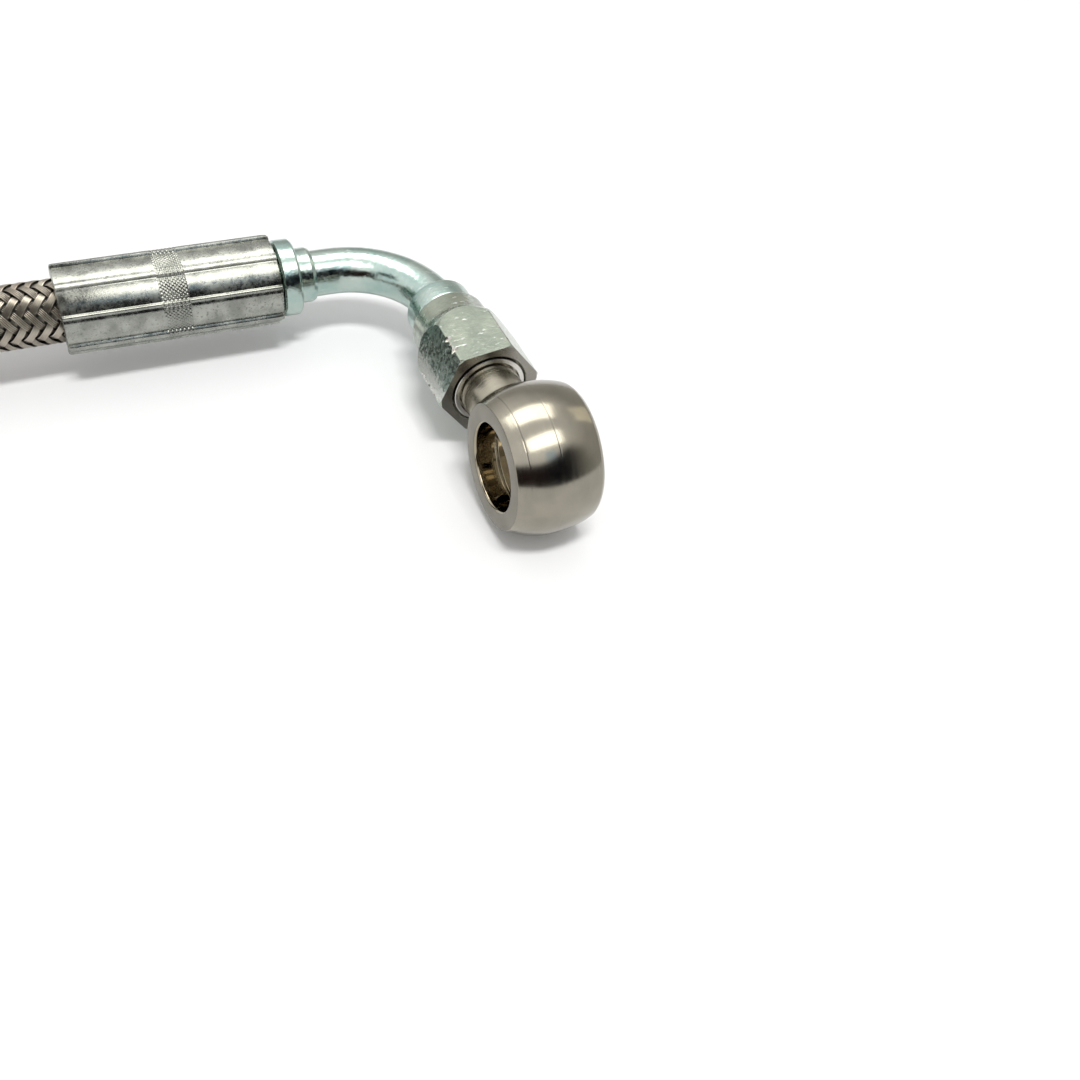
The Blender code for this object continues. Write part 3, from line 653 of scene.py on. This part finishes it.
def makeEye():
    half, ball = eye["halfWidth"], eye["ballHalf"]
    count = eye["ballSteps"]
    places = [ball * step / count for step in range(-count, count + 1)]
    places.append(ball + 0.5 * (half - ball))
    for line in eye["lines"]:
        places = [place for place in places if abs(place - line) > 1.5 * eye["lineHalf"]]
        places += [line - eye["lineHalf"], line, line + eye["lineHalf"]]
    outside = []
    for place in sorted(places):
        cut = eye["lineDepth"] if place in eye["lines"] else 0
        fuller = eye["farFullness"] * (max(place, 0) / ball) ** 2
        outside.append((place, math.sqrt(eye["radius"] ** 2 - place ** 2) + fuller - cut))
    bore, groove, grooveHalf = eye["bore"], eye["grooveRadius"], eye["grooveHalf"]
    slope = groove - bore
    chamfer = eye["boreChamfer"]
    inside = [
        (half, bore + chamfer),
        (half - chamfer, bore),
        (grooveHalf + slope, bore),
        (grooveHalf, groove),
    ]
    inside += [(-height, radius) for height, radius in reversed(inside)]
    profile = [(-half, eye["rimRadius"]), *outside, (half, eye["farRimRadius"]), *inside]
    bm = turnProfile(roundCorners(profile, eye["rounding"]), eye["steps"])
    piece = finishPiece(bm, "banjoEye", eyePlace, eyeSteel, ["banjo_fitting"])
    start, end, radius = eye["passageFrom"], eye["passageTo"], eye["passage"]
    outline = [(start, 0), (start, radius), (end, radius), (end, 0)]
    hole = turnProfile(outline, eye["passageSteps"], False)
    booleanPiece(piece, [(placeMesh(hole, "passageTool", neckPlace), "DIFFERENCE")])
    piece.data.materials.append(boreSteel)
    piece.data.materials.append(shadedFaceSteel)
    # the bore takes the reamed steel; the flat faces take the darker copy with its painted shade
    for face in piece.data.polygons:
        away = (face.center - eyeCentre) / mm
        if math.hypot(away.y, away.z) < groove + 0.1 and abs(away.x) < half - 0.1:
            face.material_index = 1
        elif abs(face.normal.x) > 0.9:
            face.material_index = 2


eyeAxis, neckAxis = (1, 0, 0), (0, 1, 0)  # of the lathe
eyeSteel = makeTurnedStainless(
    "turnedStainless", eyeAxis, "89857a", "989386", (0.13, 0.21), eye["lines"],
)
# the eye's flat faces: a rougher copy of the turned steel, darkened with painted shade for the shaded
# floor that they mirror
shadedFaceSteel = makeTurnedStainless("facedStainlessPaintedShade", eyeAxis, "716d63", "7f7b70", (0.26, 0.36))
boreSteel = makeTurnedStainless("reamedStainless", eyeAxis, "948b79", "a59c89", (0.05, 0.09))
neckSteel = makeTurnedStainless("turnedStainlessNeck", neckAxis, "a29d8e", "a9a496", (0.2, 0.28))
brightSteel = makeTurnedStainless("facedStainless", neckAxis, "c6c3bd", "dcdad5", (0.2, 0.3))

neck = {
    "radius": 4.45,
    "root": 8.0,
    "flare": ((9.0, 5.05), (9.2, 4.85), (9.5, 4.62), (9.9, 4.5)),  # height and radius at its foot
    "flareEnd": 10.5,
    "reach": 15.25,
    "ring": 5.32,  # bright face that lies flush in the nut's mouth
    "ringLength": 0.9,
    "ringGroove": (  # from the neck to the ring: height from the reach, and radius
        (-0.25, 4.2), (0.5, 4.2), (0.5, 4.6), (-0.06, 4.64), (-0.1, 4.7),
    ),
    "threadRadius": 4.9,
    "threadDepth": 0.55,
    "threadLength": 7.3,
    "pitch": 1.0,
    "rootFlat": (0.44, 0.56),  # shares of the pitch
    "crestAt": 0.95,
    "coneTip": 2.3,
    "coneBase": 4.3,
    "coneAngle": math.radians(37),
    "passage": 2.0,
    "steps": 96,
}


def makeNeck():
    radius, reach, ring, pitch = neck["radius"], neck["reach"], neck["ring"], neck["pitch"]
    start, end = reach + neck["ringLength"], reach + neck["threadLength"]
    crest, root = neck["threadRadius"], neck["threadRadius"] - neck["threadDepth"]
    thread = [(reach - 0.35, radius)]
    thread += [(reach + height, groove) for height, groove in neck["ringGroove"]]
    thread += [(reach - 0.1, ring - 0.08), (reach - 0.04, ring), (start, ring)]
    for turn in range(int((end - start) / pitch)):
        base = start + turn * pitch
        thread += [(base + share * pitch, root) for share in neck["rootFlat"]]
        thread.append((base + neck["crestAt"] * pitch, crest))
    coneEnd = end + (neck["coneBase"] - neck["coneTip"]) / math.tan(neck["coneAngle"])
    profile = [
        (neck["root"], neck["passage"]),
        (neck["root"], radius),
        *neck["flare"],
        (neck["flareEnd"], radius),
        *thread,
        (end, neck["coneBase"]),
        (coneEnd, neck["coneTip"]),
        (coneEnd, neck["passage"]),
    ]
    bm = turnProfile(profile, neck["steps"])
    piece = finishPiece(bm, "banjoNeck", neckPlace, neckSteel)
    piece.data.materials.append(brightSteel)
    for face in piece.data.polygons:
        away = (face.center - eyeCentre).y / mm
        if face.normal.y < -0.5 and reach - 0.2 < away < reach + 0.2:
            face.material_index = 1


makeEye()
makeNeck()
print("banjo eye made")

nut = {
    "acrossFlats": 13.3,
    "length": 16.3,
    "skirtRadius": 5.85,
    "skirtLength": 3.5,
    "skirtLip": ((0, 0.6), (0.1, 0.35), (0.3, 0.1), (0.6, 0)),  # height, and how far inside the skirt
    "shoulder": 4.9,
    "shoulderSteps": 12,
    "mouthRadius": 5.6,
    "mouthDepth": 1.3,
    "mouthLip": 0.12,
    "frontChamfer": 0.35,
    "innerThread": 5.1,
    "threadFrom": 3.45,
    "neckHole": 4.65,
    "cornerBevel": 0.16,
    "softEdge": 0.07,
    "steps": 144,
    "nickTip": 0.02,
    "nickReach": 1.2,
    "nickSquash": 0.5,
    # knocks on the edges: degrees round, height, depth, half width in mm, and lean in degrees
    "nicks": (
        (128.4, 11.0, 0.85, 1.6, 14), (128.4, 13.5, 0.9, 1.6, -10), (128.4, 12.2, 0.45, 1.2, 5),
        (188.4, 9.2, 0.6, 1.4, 20), (188.4, 10.0, 0.8, 1.3, -18), (188.4, 10.9, 0.6, 1.5, 8),
        (188.4, 11.9, 0.85, 1.3, -6), (188.4, 12.9, 0.65, 1.5, 16), (188.4, 14.1, 0.8, 1.3, -14),
        (188.4, 15.2, 0.6, 1.4, 4), (68.4, 11.6, 0.45, 1.2, 10), (68.4, 14.6, 0.5, 1.2, -12),
    ),
    "nearTurn": math.radians(38.4),
    "farTurn": math.radians(30),
}


zincPlate = makeZincPlate("bluePassivatedZinc", "9bb2ac", "b2c0b9", 0.35)
nutZinc = makeZincPlate("handledZincPlate", "9fa89b", "b1b8a9", 0.9)
pittedZinc = makeZincPlate("pittedZincPlate", "93a59d", "adbab2", 0.8, 0.7, 11.4)
mouthSteel = makeTurnedStainless("bareTurnedSteel", neckAxis, "86837c", "9a978f", (0.2, 0.34))


def inMouth(face, place):
    away = place.inverted() @ face.center
    return math.hypot(away.x, away.y) < (nut["mouthRadius"] + 0.05) * mm


def makeNut(name, place, start, turn, material, replaced, nicks=()):
    corner = nut["acrossFlats"] / math.sqrt(3)
    skirt, skirtLength, shoulder = nut["skirtRadius"], nut["skirtLength"], nut["shoulder"]
    dome = []
    for step in range(1, nut["shoulderSteps"]):
        share = step / nut["shoulderSteps"]
        swell = math.sin(share * math.pi / 2) ** 1.2
        dome.append((skirtLength + share * shoulder, skirt + (corner - skirt) * swell))
    length, chamfer, lip = nut["length"], nut["frontChamfer"], nut["mouthLip"]
    mouth, depth = nut["mouthRadius"], nut["mouthDepth"]
    profile = [
        (0, nut["neckHole"]),
        *[(height, skirt - inside) for height, inside in nut["skirtLip"]],
        (skirtLength, skirt),
        *dome,
        (skirtLength + shoulder, corner),
        (length - chamfer, corner),
        (length, corner - chamfer),
        (length, mouth + lip),
        (length - lip, mouth),
        (length - depth, mouth),
        (length - depth, nut["innerThread"]),
        (nut["threadFrom"], nut["innerThread"]),
        (nut["threadFrom"], nut["neckHole"]),
    ]
    bm = turnProfile([(height + start, radius) for height, radius in profile], nut["steps"])
    piece = finishPiece(bm, name, place, material, replaced, 28)
    # the turned blank is trimmed by a hexagon bar
    bar = bmesh.new()
    bmesh.ops.create_circle(bar, cap_ends=True, radius=corner * mm, segments=6)
    made = bmesh.ops.extrude_face_region(bar, geom=list(bar.faces))
    top = [item for item in made["geom"] if isinstance(item, bmesh.types.BMVert)]
    bmesh.ops.translate(bar, verts=top, vec=(0, 0, (length + 2) * mm))
    long = [edge for edge in bar.edges if abs(edge.verts[0].co.z - edge.verts[1].co.z) > mm]
    bmesh.ops.bevel(
        bar, geom=long, offset=nut["cornerBevel"] * mm, offset_type="OFFSET", segments=3,
        profile=0.5, affect="EDGES", material=-1,
    )
    bmesh.ops.rotate(bar, verts=bar.verts, cent=(0, 0, 0), matrix=Matrix.Rotation(turn, 3, "Z"))
    bmesh.ops.translate(bar, verts=bar.verts, vec=(0, 0, (start - 1) * mm))
    cuts = [(placeMesh(bar, name + "Bar", place), "INTERSECT")]
    for index, (around, height, deep, wide, lean) in enumerate(nicks):
        # a wedge struck across an edge, its tip inwards
        wedge = bmesh.new()
        bmesh.ops.create_cone(
            wedge, cap_ends=True, segments=4, radius1=wide * mm, radius2=nut["nickTip"] * mm,
            depth=nut["nickReach"] * mm,
        )
        bmesh.ops.scale(wedge, vec=(nut["nickSquash"], 1.0, 1.0), verts=wedge.verts)
        outFrom = corner - deep + nut["nickReach"] / 2
        wedgePlace = (
            place
            @ Matrix.Rotation(math.radians(around), 4, "Z")
            @ Matrix.Translation((outFrom * mm, 0, (start + height) * mm))
            @ Matrix.Rotation(-math.pi / 2, 4, "Y")
            @ Matrix.Rotation(math.radians(lean), 4, "Z")
        )
        cuts.append((placeMesh(wedge, name + "Nick" + str(index), wedgePlace), "DIFFERENCE"))
    booleanPiece(piece, cuts)
    piece.data.materials.append(pittedZinc)
    piece.data.materials.append(mouthSteel)
    piece.data.materials.append(brightSteel)
    axis = place.to_3x3() @ Vector((0, 0, 1))
    mouthAt = (start + length) * mm
    for face in piece.data.polygons:
        depthIn = mouthAt - (face.center - place.translation).dot(axis)
        facing = face.normal.dot(axis)
        outwards = face.normal - axis * facing
        bare = facing > 0.95 or depthIn > 0.02 * mm and inMouth(face, place)
        onPittedFlat = outwards.length > 0.95 and outwards.x < -0.85 and outwards.z > 0.2
        if bare and depthIn < (depth + 0.1) * mm:
            face.material_index = 2
        elif onPittedFlat and depthIn < 12 * mm:
            face.material_index = 1
        if nicks and 0.5 * mm < depthIn < 7.4 * mm and 0.15 < abs(facing) < 0.95:
            face.material_index = 3
    soften = piece.modifiers.new("softEdges", "BEVEL")
    soften.width = nut["softEdge"] * mm
    soften.segments = 2
    soften.limit_method = "ANGLE"
    soften.angle_limit = math.radians(32)
    soften.harden_normals = True
    return piece


nipple = {
    "band": 5.1,
    "bandLength": 4.05,
    "bandRim": 0.35,
    "body": 4.45,
    "bore": 2.2,
    "coneRim": 4.3,
    "socket": 3.7,
    "socketDepth": 3.8,
    "wireFromSkirt": 1.65,
    "wireCentre": 4.6,  # radius at which the thrust wire lies
    "wireGroove": 0.8,
    "rounding": 0.12,
    "steps": 128,
}


def nippleOutside(bandStart):
    band, body, rim = nipple["band"], nipple["body"], nipple["bandRim"]
    bandEnd = bandStart + nipple["bandLength"]
    skirtStart = bandEnd + seam
    front = skirtStart + nut["length"] - neck["threadLength"] - seam / math.sin(neck["coneAngle"])
    seat = (nipple["coneRim"] - nipple["bore"]) / math.tan(neck["coneAngle"])
    wire = []
    for step in range(9):
        turn = math.pi + math.pi * step / 8
        radius = nipple["wireCentre"] + nipple["wireGroove"] * math.sin(turn)
        height = skirtStart + nipple["wireFromSkirt"] + nipple["wireGroove"] * math.cos(turn)
        if radius < body:
            wire.append((height, radius))
    return [
        (bandStart, band - rim),
        (bandStart + rim, band),
        (bandEnd - rim, band),
        (bandEnd, band - rim),
        (bandEnd, body),
        *wire,
        (front, body),
        (front, nipple["coneRim"]),
        (front - seat, nipple["bore"]),
    ]


def makeNipple():
    depth = nipple["socketDepth"] + seam
    profile = [
        (seam, nipple["socket"]),
        *nippleOutside(seam),
        (depth, nipple["bore"]),
        (depth, nipple["socket"]),
    ]
    bm = turnProfile(roundCorners(profile, nipple["rounding"]), nipple["steps"])
    finishPiece(bm, "coneNipple", swivelPlace, zincPlate, ["cone_nipple"])


stem = {
    "tailStart": 3.0,
    "tail": 2.9,
    "tailRoot": 2.6,
    "barbs": 4,
    "barbPitch": 5.2,
    "barbLip": 0.5,
    "lockRing": 3.9,
    "lockLength": 1.4,
    "lockGroove": 3.0,
    "grooveStart": 28.0,
    "collarStart": 31.5,
    "collar": 5.75,
    "collarRim": 0.35,
    "collarLength": 2.9,
    "smallCollar": 4.15,
    "smallLength": 2.65,
    "brazeFillet": (0.55, 0.28),  # along and across
    "socket": 3.7,
    "socketFloor": 32.66,
    "bore": 1.9,
    "farNeck": 3.5,
    "farNeckLength": 2.4,
    "farBoreStep": 31.2,
    "rounding": 0.1,
    "steps": 128,
    "farSteps": 96,
}
stemFront = stem["collarStart"] + stem["collarLength"] + stem["smallLength"]
farBand = stemFront + stem["farNeckLength"]


def stemOutside():
    points = [(stem["tailStart"], stem["tailRoot"] - 0.25)]
    for barb in range(stem["barbs"]):
        base = stem["tailStart"] + (barb + 1) * stem["barbPitch"]
        points += [(base - stem["barbLip"], stem["tail"]), (base, stem["tailRoot"])]
    grooveStart, start = stem["grooveStart"], stem["collarStart"]
    ringStart, end = grooveStart - stem["lockLength"], start + stem["collarLength"]
    big, small, rim = stem["collar"], stem["smallCollar"], stem["collarRim"]
    filletLength, filletDrop = stem["brazeFillet"]
    return points + [
        (ringStart, stem["tailRoot"]),
        (ringStart, stem["lockRing"]),
        (grooveStart, stem["lockRing"]),
        (grooveStart, stem["lockGroove"]),
        (start, stem["lockGroove"]),
        (start, big - rim),
        (start + rim, big),
        (end - rim, big),
        (end, big - rim),
        (end, small),
        (stemFront - filletLength, small),
        (stemFront, small - filletDrop),
    ]


def makeStem():
    profile = [
        *stemOutside(),
        (stemFront, stem["socket"]),
        (stem["socketFloor"], stem["socket"]),
        (stem["socketFloor"], stem["bore"]),
        (stem["tailStart"], stem["bore"]),
    ]
    bm = turnProfile(roundCorners(profile, stem["rounding"]), stem["steps"])
    finishPiece(bm, "hoseStem", nearPlace, zincPlate, ["hose_stem"])


def makeFarStem():
    profile = [
        *stemOutside(),
        (stemFront, stem["farNeck"]),
        (farBand, stem["farNeck"]),
        *nippleOutside(farBand),
        (stem["farBoreStep"], nipple["bore"]),
        (stem["farBoreStep"], stem["bore"]),
        (stem["tailStart"], stem["bore"]),
    ]
    bm = turnProfile(roundCorners(profile, stem["rounding"]), stem["farSteps"])
    return finishPiece(bm, "farStem", farPlace, zincPlate, ["far_hose_stem"])


elbow = {
    "radius": 3.5,
    "bend": layout["acrossBend"][1],
    "bendSteps": 44,
    "sides": 72,
    "intoStem": layout["bendToHose"] - stem["socketFloor"] - seam,
    "intoNipple": nipple["socketDepth"],
}


def makeElbow():
    bm = bmesh.new()
    made = bmesh.ops.create_circle(
        bm, cap_ends=True, radius=elbow["radius"] * mm, segments=elbow["sides"],
    )
    bmesh.ops.rotate(
        bm, verts=made["verts"], cent=(0, 0, 0), matrix=Matrix.Rotation(math.pi / 2, 3, "Y"),
    )
    intoStem = Vector((elbow["intoStem"] * mm, 0, 0))
    intoNipple = Vector((0, -elbow["intoNipple"] * mm, 0))
    bmesh.ops.translate(bm, verts=made["verts"], vec=bendStart - intoStem)
    face = bm.faces[:]
    for offset in (intoStem, None, intoNipple):
        if offset is None:
            swept = bmesh.ops.spin(
                bm, geom=face, cent=bendEnd - Vector((elbow["bend"] * mm, 0, 0)), axis=(0, 0, -1),
                angle=math.pi / 2, steps=elbow["bendSteps"],
            )
            face = [item for item in swept["geom_last"] if isinstance(item, bmesh.types.BMFace)]
        else:
            moved = bmesh.ops.extrude_face_region(bm, geom=face)["geom"]
            bmesh.ops.delete(bm, geom=face, context="FACES_ONLY")
            verts = [item for item in moved if isinstance(item, bmesh.types.BMVert)]
            bmesh.ops.translate(bm, verts=verts, vec=offset)
            face = [item for item in moved if isinstance(item, bmesh.types.BMFace)]
    finishPiece(bm, "elbowTube", Matrix.Identity(4), zincPlate, ["elbow_tube"])


nearSkirt = seam + nipple["bandLength"] + seam
makeNut("elbowNut", swivelPlace, nearSkirt, nut["nearTurn"], nutZinc, ["swivel_nut"], nut["nicks"])
farSkirt = farBand + nipple["bandLength"] + seam
farNut = makeNut("farNut", farPlace, farSkirt, nut["farTurn"], nutZinc, ["far_swivel_nut"])
print("nuts made")

makeNipple()
makeElbow()
makeStem()
farStem = makeFarStem()
print("elbow and stems made")

shell = {
    "length": 31.2,
    "bore": 4.7,
    "ridge": 6.8,
    "flat": 6.36,
    "slim": 0.22,  # how much slimmer the hose end is pressed
    "ridgeHalf": 4.3,  # degrees
    "ridgeFoot": 1.7,
    "ridges": 8,
    "crest": (2.6, 0.05),  # half width in degrees and depth of the hollow along each ridge
    "lipLength": 2.9,
    "lip": 3.3,
    "knurlFrom": 13.7,
    "knurlTo": 17.7,
    "knurlRow": 0.085,  # between the rows of vertices there
    "knurls": 70,
    "knurlPitch": 0.58,
    "knurlDepth": 0.11,
    "hoseRows": (0.5, 0.65, 21),  # first height, step and count
    "stemRows": (18.4, 0.7, 18),
    "nearTurn": 25,
    "farTurn": 22.5,
    "steps": 480,
}
pressedSteel = makePressedSteel()


def makeShell(name, place, turn, replaced):
    length, ridge, lipStart = shell["length"], shell["ridge"], shell["length"] - shell["lipLength"]
    fineStart, fineStep = shell["knurlFrom"] - 0.2, shell["knurlRow"]
    fineCount = int((shell["knurlTo"] + 0.2 - fineStart) / fineStep) + 1
    rows = (shell["hoseRows"], (fineStart, fineStep, fineCount), shell["stemRows"])
    heights = [first + step * k for first, step, count in rows for k in range(count)]
    profile = [(0, shell["bore"]), (0, ridge - 0.4), (0.04, ridge - 0.22), (0.15, ridge - 0.07)]
    profile += [(height, ridge) for height in heights]
    profile += [(length - 0.15, ridge - 0.08), (length - 0.03, ridge - 0.25), (length, ridge - 0.5)]
    profile += [(length, shell["lip"]), (lipStart, shell["lip"]), (lipStart, shell["bore"])]
    bm = turnProfile(profile, shell["steps"])
    middle = (shell["knurlFrom"] + shell["knurlTo"]) / 2
    half = (shell["knurlTo"] - shell["knurlFrom"]) / 2
    span = 360 / shell["ridges"]
    crestHalf, crestDepth = shell["crest"]
    for vert in bm.verts:
        radius = math.hypot(vert.co.x, vert.co.y) / mm
        if radius < 5.5:
            continue
        angle = math.degrees(math.atan2(vert.co.y, vert.co.x))
        height = vert.co.z / mm
        away = abs((angle - turn + span / 2) % span - span / 2)
        foot = ease((away - shell["ridgeHalf"]) / shell["ridgeFoot"])
        crest = -crestDepth * max(0.0, 1 - (away / crestHalf) ** 2)
        slim = shell["slim"] * (1 - height / length)
        change = crest - slim - (ridge - shell["flat"]) * foot
        inside = ease((half - abs(height - middle)) / 0.15)
        if inside > 0:
            around = math.radians(angle) * shell["knurls"] / (2 * math.pi)
            first = abs((around + height / shell["knurlPitch"]) % 1 - 0.5) * 2
            second = abs((around - height / shell["knurlPitch"]) % 1 - 0.5) * 2
            change -= inside * shell["knurlDepth"] * (max(first, second) ** 3)
        vert.co.x *= 1 + change / radius
        vert.co.y *= 1 + change / radius
    return finishPiece(bm, name, place, pressedSteel, replaced, 40)


makeShell("crimpShell", nearPlace, shell["nearTurn"], ["crimp_shell"])
farShell = makeShell("farShell", farPlace, shell["farTurn"], ["far_crimp_shell"])
print("shells made")


def makeNylon():
    # black cable tie nylon as moulded, with a faint bloom
    material, tree, shader, coords = startMaterial("blackNylon", 0.0, 0.42)
    bloom = addNode(tree, "ShaderNodeTexNoise", {"Scale": 1.2 * perMm, "Detail": 4}, {"Vector": coords})
    tint = addNode(
        tree, "ShaderNodeMix",
        {"data_type": "RGBA", 6: linearColour("0c0c0d"), 7: linearColour("232325")}, {0: bloom},
    )
    tree.links.new(tint.outputs[2], shader.inputs["Base Color"])
    relief = addNode(tree, "ShaderNodeBump", {"Strength": 0.2, "Distance": 0.05 * mm}, {"Height": bloom})
    tree.links.new(relief.outputs[0], shader.inputs["Normal"])
    return material


springSteel = makeSpringSteel()
keptFinishes = {
    "coil_tie": makeNylon(),
    "thrust_wire": springSteel,
    "far_thrust_wire": springSteel,
    "braid_end": springSteel,
    "far_braid_end": springSteel,
    "liner_end": coreCurve.materials[0],
    "far_liner_end": coreCurve.materials[0],
}
for name, finish in keptFinishes.items():
    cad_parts[name].material_slots[0].material = finish

studio = {
    "paper": "f4f4f4",
    "paperHalf": 3.0,
    "paperLift": 0.03,  # what the camera and the metal see of the paper, lifted towards white
    "skyDiffuse": 0.6,  # what the white room around gives to matt surfaces
    "skyGlossy": 1.35,  # what metal sees of it
    "whites": ("b3b2ae", "ffffff"),  # low down on the right, and overhead and to the left
    "opening": "05070f",  # the dark open side of the light tent, behind the camera
    "openingWarm": "1c0a09",  # and its left part
    "openingEdges": (  # where it starts and where it is full
        ("Y", -0.38, -0.62), ("Z", -0.06, 0.02), ("slope", 0.68, 0.55),
        ("X", -0.86, -0.68), ("X", 0.9, 0.4),
    ),
    "blueGlow": "c6dcf0",
    "glowPlace": (("Z", 0.7, 0.08), ("X", 0.08, 0.13)),  # middle and half width
    "flagSize": (0.05, 0.03),
    "flagPlace": Vector((-72.0, 24.0, 34.0)) * mm,
}


def makeFloor():
    # white paper
    bm = bmesh.new()
    bmesh.ops.create_grid(bm, x_segments=1, y_segments=1, size=studio["paperHalf"])
    floor = linkMesh(bm, "floor")
    material, tree, shader, coords = startMaterial("whitePaper", 0.0, 0.7)
    shader.inputs["Base Color"].default_value = linearColour(studio["paper"])
    ray = addNode(tree, "ShaderNodeLightPath")
    seen = addNode(
        tree, "ShaderNodeMath", {"operation": "MAXIMUM"},
        {0: ray.outputs["Is Camera Ray"], 1: ray.outputs["Is Glossy Ray"]},
    )
    lift = addNode(tree, "ShaderNodeMath", {"operation": "MULTIPLY", 1: studio["paperLift"]}, {0: seen})
    glow = addNode(tree, "ShaderNodeEmission", {"Color": (1, 1, 1, 1)}, {"Strength": lift})
    both = addNode(tree, "ShaderNodeAddShader", None, {0: shader, 1: glow})
    tree.links.new(both.outputs[0], tree.nodes["Material Output"].inputs["Surface"])
    floor.data.materials.append(material)


def makeWorld():
    # a white room; only metal sees its dark open side, between these directions
    world = bpy.data.worlds.new("studio")
    bpy.context.scene.world = world
    world.use_nodes = True
    tree = world.node_tree
    background = tree.nodes["Background"]
    coords = addNode(tree, "ShaderNodeTexCoord")
    split = addNode(tree, "ShaderNodeSeparateXYZ", None, {0: coords.outputs["Generated"]})
    towards = {axis: split.outputs[axis] for axis in "XYZ"}
    x, y, z = towards.values()
    towards["slope"] = addNode(
        tree, "ShaderNodeMath", {"operation": "MULTIPLY_ADD", 1: -0.2}, {0: x, 2: z},
    )
    opening = None
    for direction, low, high in studio["openingEdges"]:
        edge = addNode(
            tree, "ShaderNodeMapRange",
            {"interpolation_type": "SMOOTHSTEP", "From Min": low, "From Max": high},
            {"Value": towards[direction]},
        )
        opening = edge if opening is None else addNode(
            tree, "ShaderNodeMath", {"operation": "MULTIPLY"}, {0: opening, 1: edge},
        )
    # brighter overhead and to the left than low down on the right
    lean = addNode(tree, "ShaderNodeMath", {"operation": "MULTIPLY_ADD", 1: -0.5}, {0: x, 2: z})
    height = addNode(tree, "ShaderNodeMapRange", {"From Min": 0.2, "From Max": 0.8}, {"Value": lean})
    lowWhite, highWhite = studio["whites"]
    white = addNode(
        tree, "ShaderNodeMix",
        {"data_type": "RGBA", 6: linearColour(lowWhite), 7: linearColour(highWhite)}, {0: height},
    )
    # pale blue light falls in over the top of the opening, in front alone
    glow = addNode(tree, "ShaderNodeMath", {"operation": "LESS_THAN", 1: 0.0}, {0: y})
    for direction, centre, half in studio["glowPlace"]:
        inside = addNode(
            tree, "ShaderNodeMath",
            {"operation": "COMPARE", 1: centre, 2: half}, {0: towards[direction]},
        )
        glow = addNode(tree, "ShaderNodeMath", {"operation": "MULTIPLY"}, {0: glow, 1: inside})
    white = addNode(
        tree, "ShaderNodeMix", {"data_type": "RGBA", 7: linearColour(studio["blueGlow"])},
        {0: glow, 6: white.outputs[2]},
    )
    sideways = addNode(
        tree, "ShaderNodeMapRange", {"From Min": -0.35, "From Max": 0.05}, {"Value": x},
    )
    warm, cold = linearColour(studio["openingWarm"]), linearColour(studio["opening"])
    dark = addNode(tree, "ShaderNodeMix", {"data_type": "RGBA", 6: warm, 7: cold}, {0: sideways})
    seen = addNode(
        tree, "ShaderNodeMix", {"data_type": "RGBA"},
        {0: opening, 6: white.outputs[2], 7: dark.outputs[2]},
    )
    ray = addNode(tree, "ShaderNodeLightPath")
    mirrored = ray.outputs["Is Glossy Ray"]
    colour = addNode(
        tree, "ShaderNodeMix", {"data_type": "RGBA", 6: (1, 1, 1, 1)},
        {0: mirrored, 7: seen.outputs[2]},
    )
    strength = addNode(
        tree, "ShaderNodeMapRange",
        {"To Min": studio["skyDiffuse"], "To Max": studio["skyGlossy"]}, {"Value": mirrored},
    )
    # the camera sees plain white
    strength = addNode(
        tree, "ShaderNodeMath", {"operation": "MAXIMUM"},
        {0: strength, 1: ray.outputs["Is Camera Ray"]},
    )
    tree.links.new(colour.outputs[2], background.inputs["Color"])
    tree.links.new(strength.outputs[0], background.inputs["Strength"])


# lamps; the strips are what the metal mirrors, and the softbox is what casts the shadows
lamps = {
    "softboxAbove": {
        "place": (-0.05, -0.48, 1.4), "size": (0.5, 0.2), "watts": 13.4,
        "colour": "ffffff", "seenBy": "matt",
    },
    "stripBehind": {
        "place": (0.02, 0.24, 0.6), "size": (0.6, 0.3), "watts": 2.2,
        "colour": "fffcf4", "seenBy": "metal",
    },
    "stripAhead": {
        "place": (0.02, -0.26, 0.6), "size": (0.6, 0.22), "watts": 1.7,
        "colour": "fffcf4", "seenBy": "metal",
    },
    "stripRight": {
        "place": (0.48, 0.12, 0.36), "size": (0.2, 0.24), "watts": 0.13,
        "colour": "fff3d8", "seenBy": "metal",
    },
}


def addLamp(name, lamp):
    data = bpy.data.lights.new(name, "AREA")
    data.shape = "RECTANGLE"
    data.size, data.size_y = lamp["size"]
    data.energy = lamp["watts"]
    data.color = linearColour(lamp["colour"])[:3]
    item = bpy.data.objects.new(name, data)
    bpy.context.collection.objects.link(item)
    item.location = lamp["place"]
    item.rotation_euler = (-Vector(lamp["place"])).to_track_quat("-Z", "Y").to_euler()
    item.visible_glossy = lamp["seenBy"] == "metal"
    item.visible_diffuse = lamp["seenBy"] == "matt"


def makeFlag():
    # a dark card over the crimp shell, seen only in the metal, where it draws the long dark bands
    bm = bmesh.new()
    bmesh.ops.create_grid(bm, x_segments=1, y_segments=1, size=0.5)
    bmesh.ops.scale(bm, vec=(*studio["flagSize"], 1), verts=bm.verts)
    bmesh.ops.translate(bm, vec=eyeCentre + studio["flagPlace"], verts=bm.verts)
    flag = linkMesh(bm, "flag")
    material, tree, shader, coords = startMaterial("darkCard", 0.0, 0.9)
    shader.inputs["Base Color"].default_value = linearColour(studio["opening"])
    flag.data.materials.append(material)
    flag.visible_camera = False
    flag.visible_diffuse = False
    flag.visible_shadow = False


makeFloor()
makeFlag()
makeWorld()
for name, lamp in lamps.items():
    addLamp(name, lamp)
print("lit")
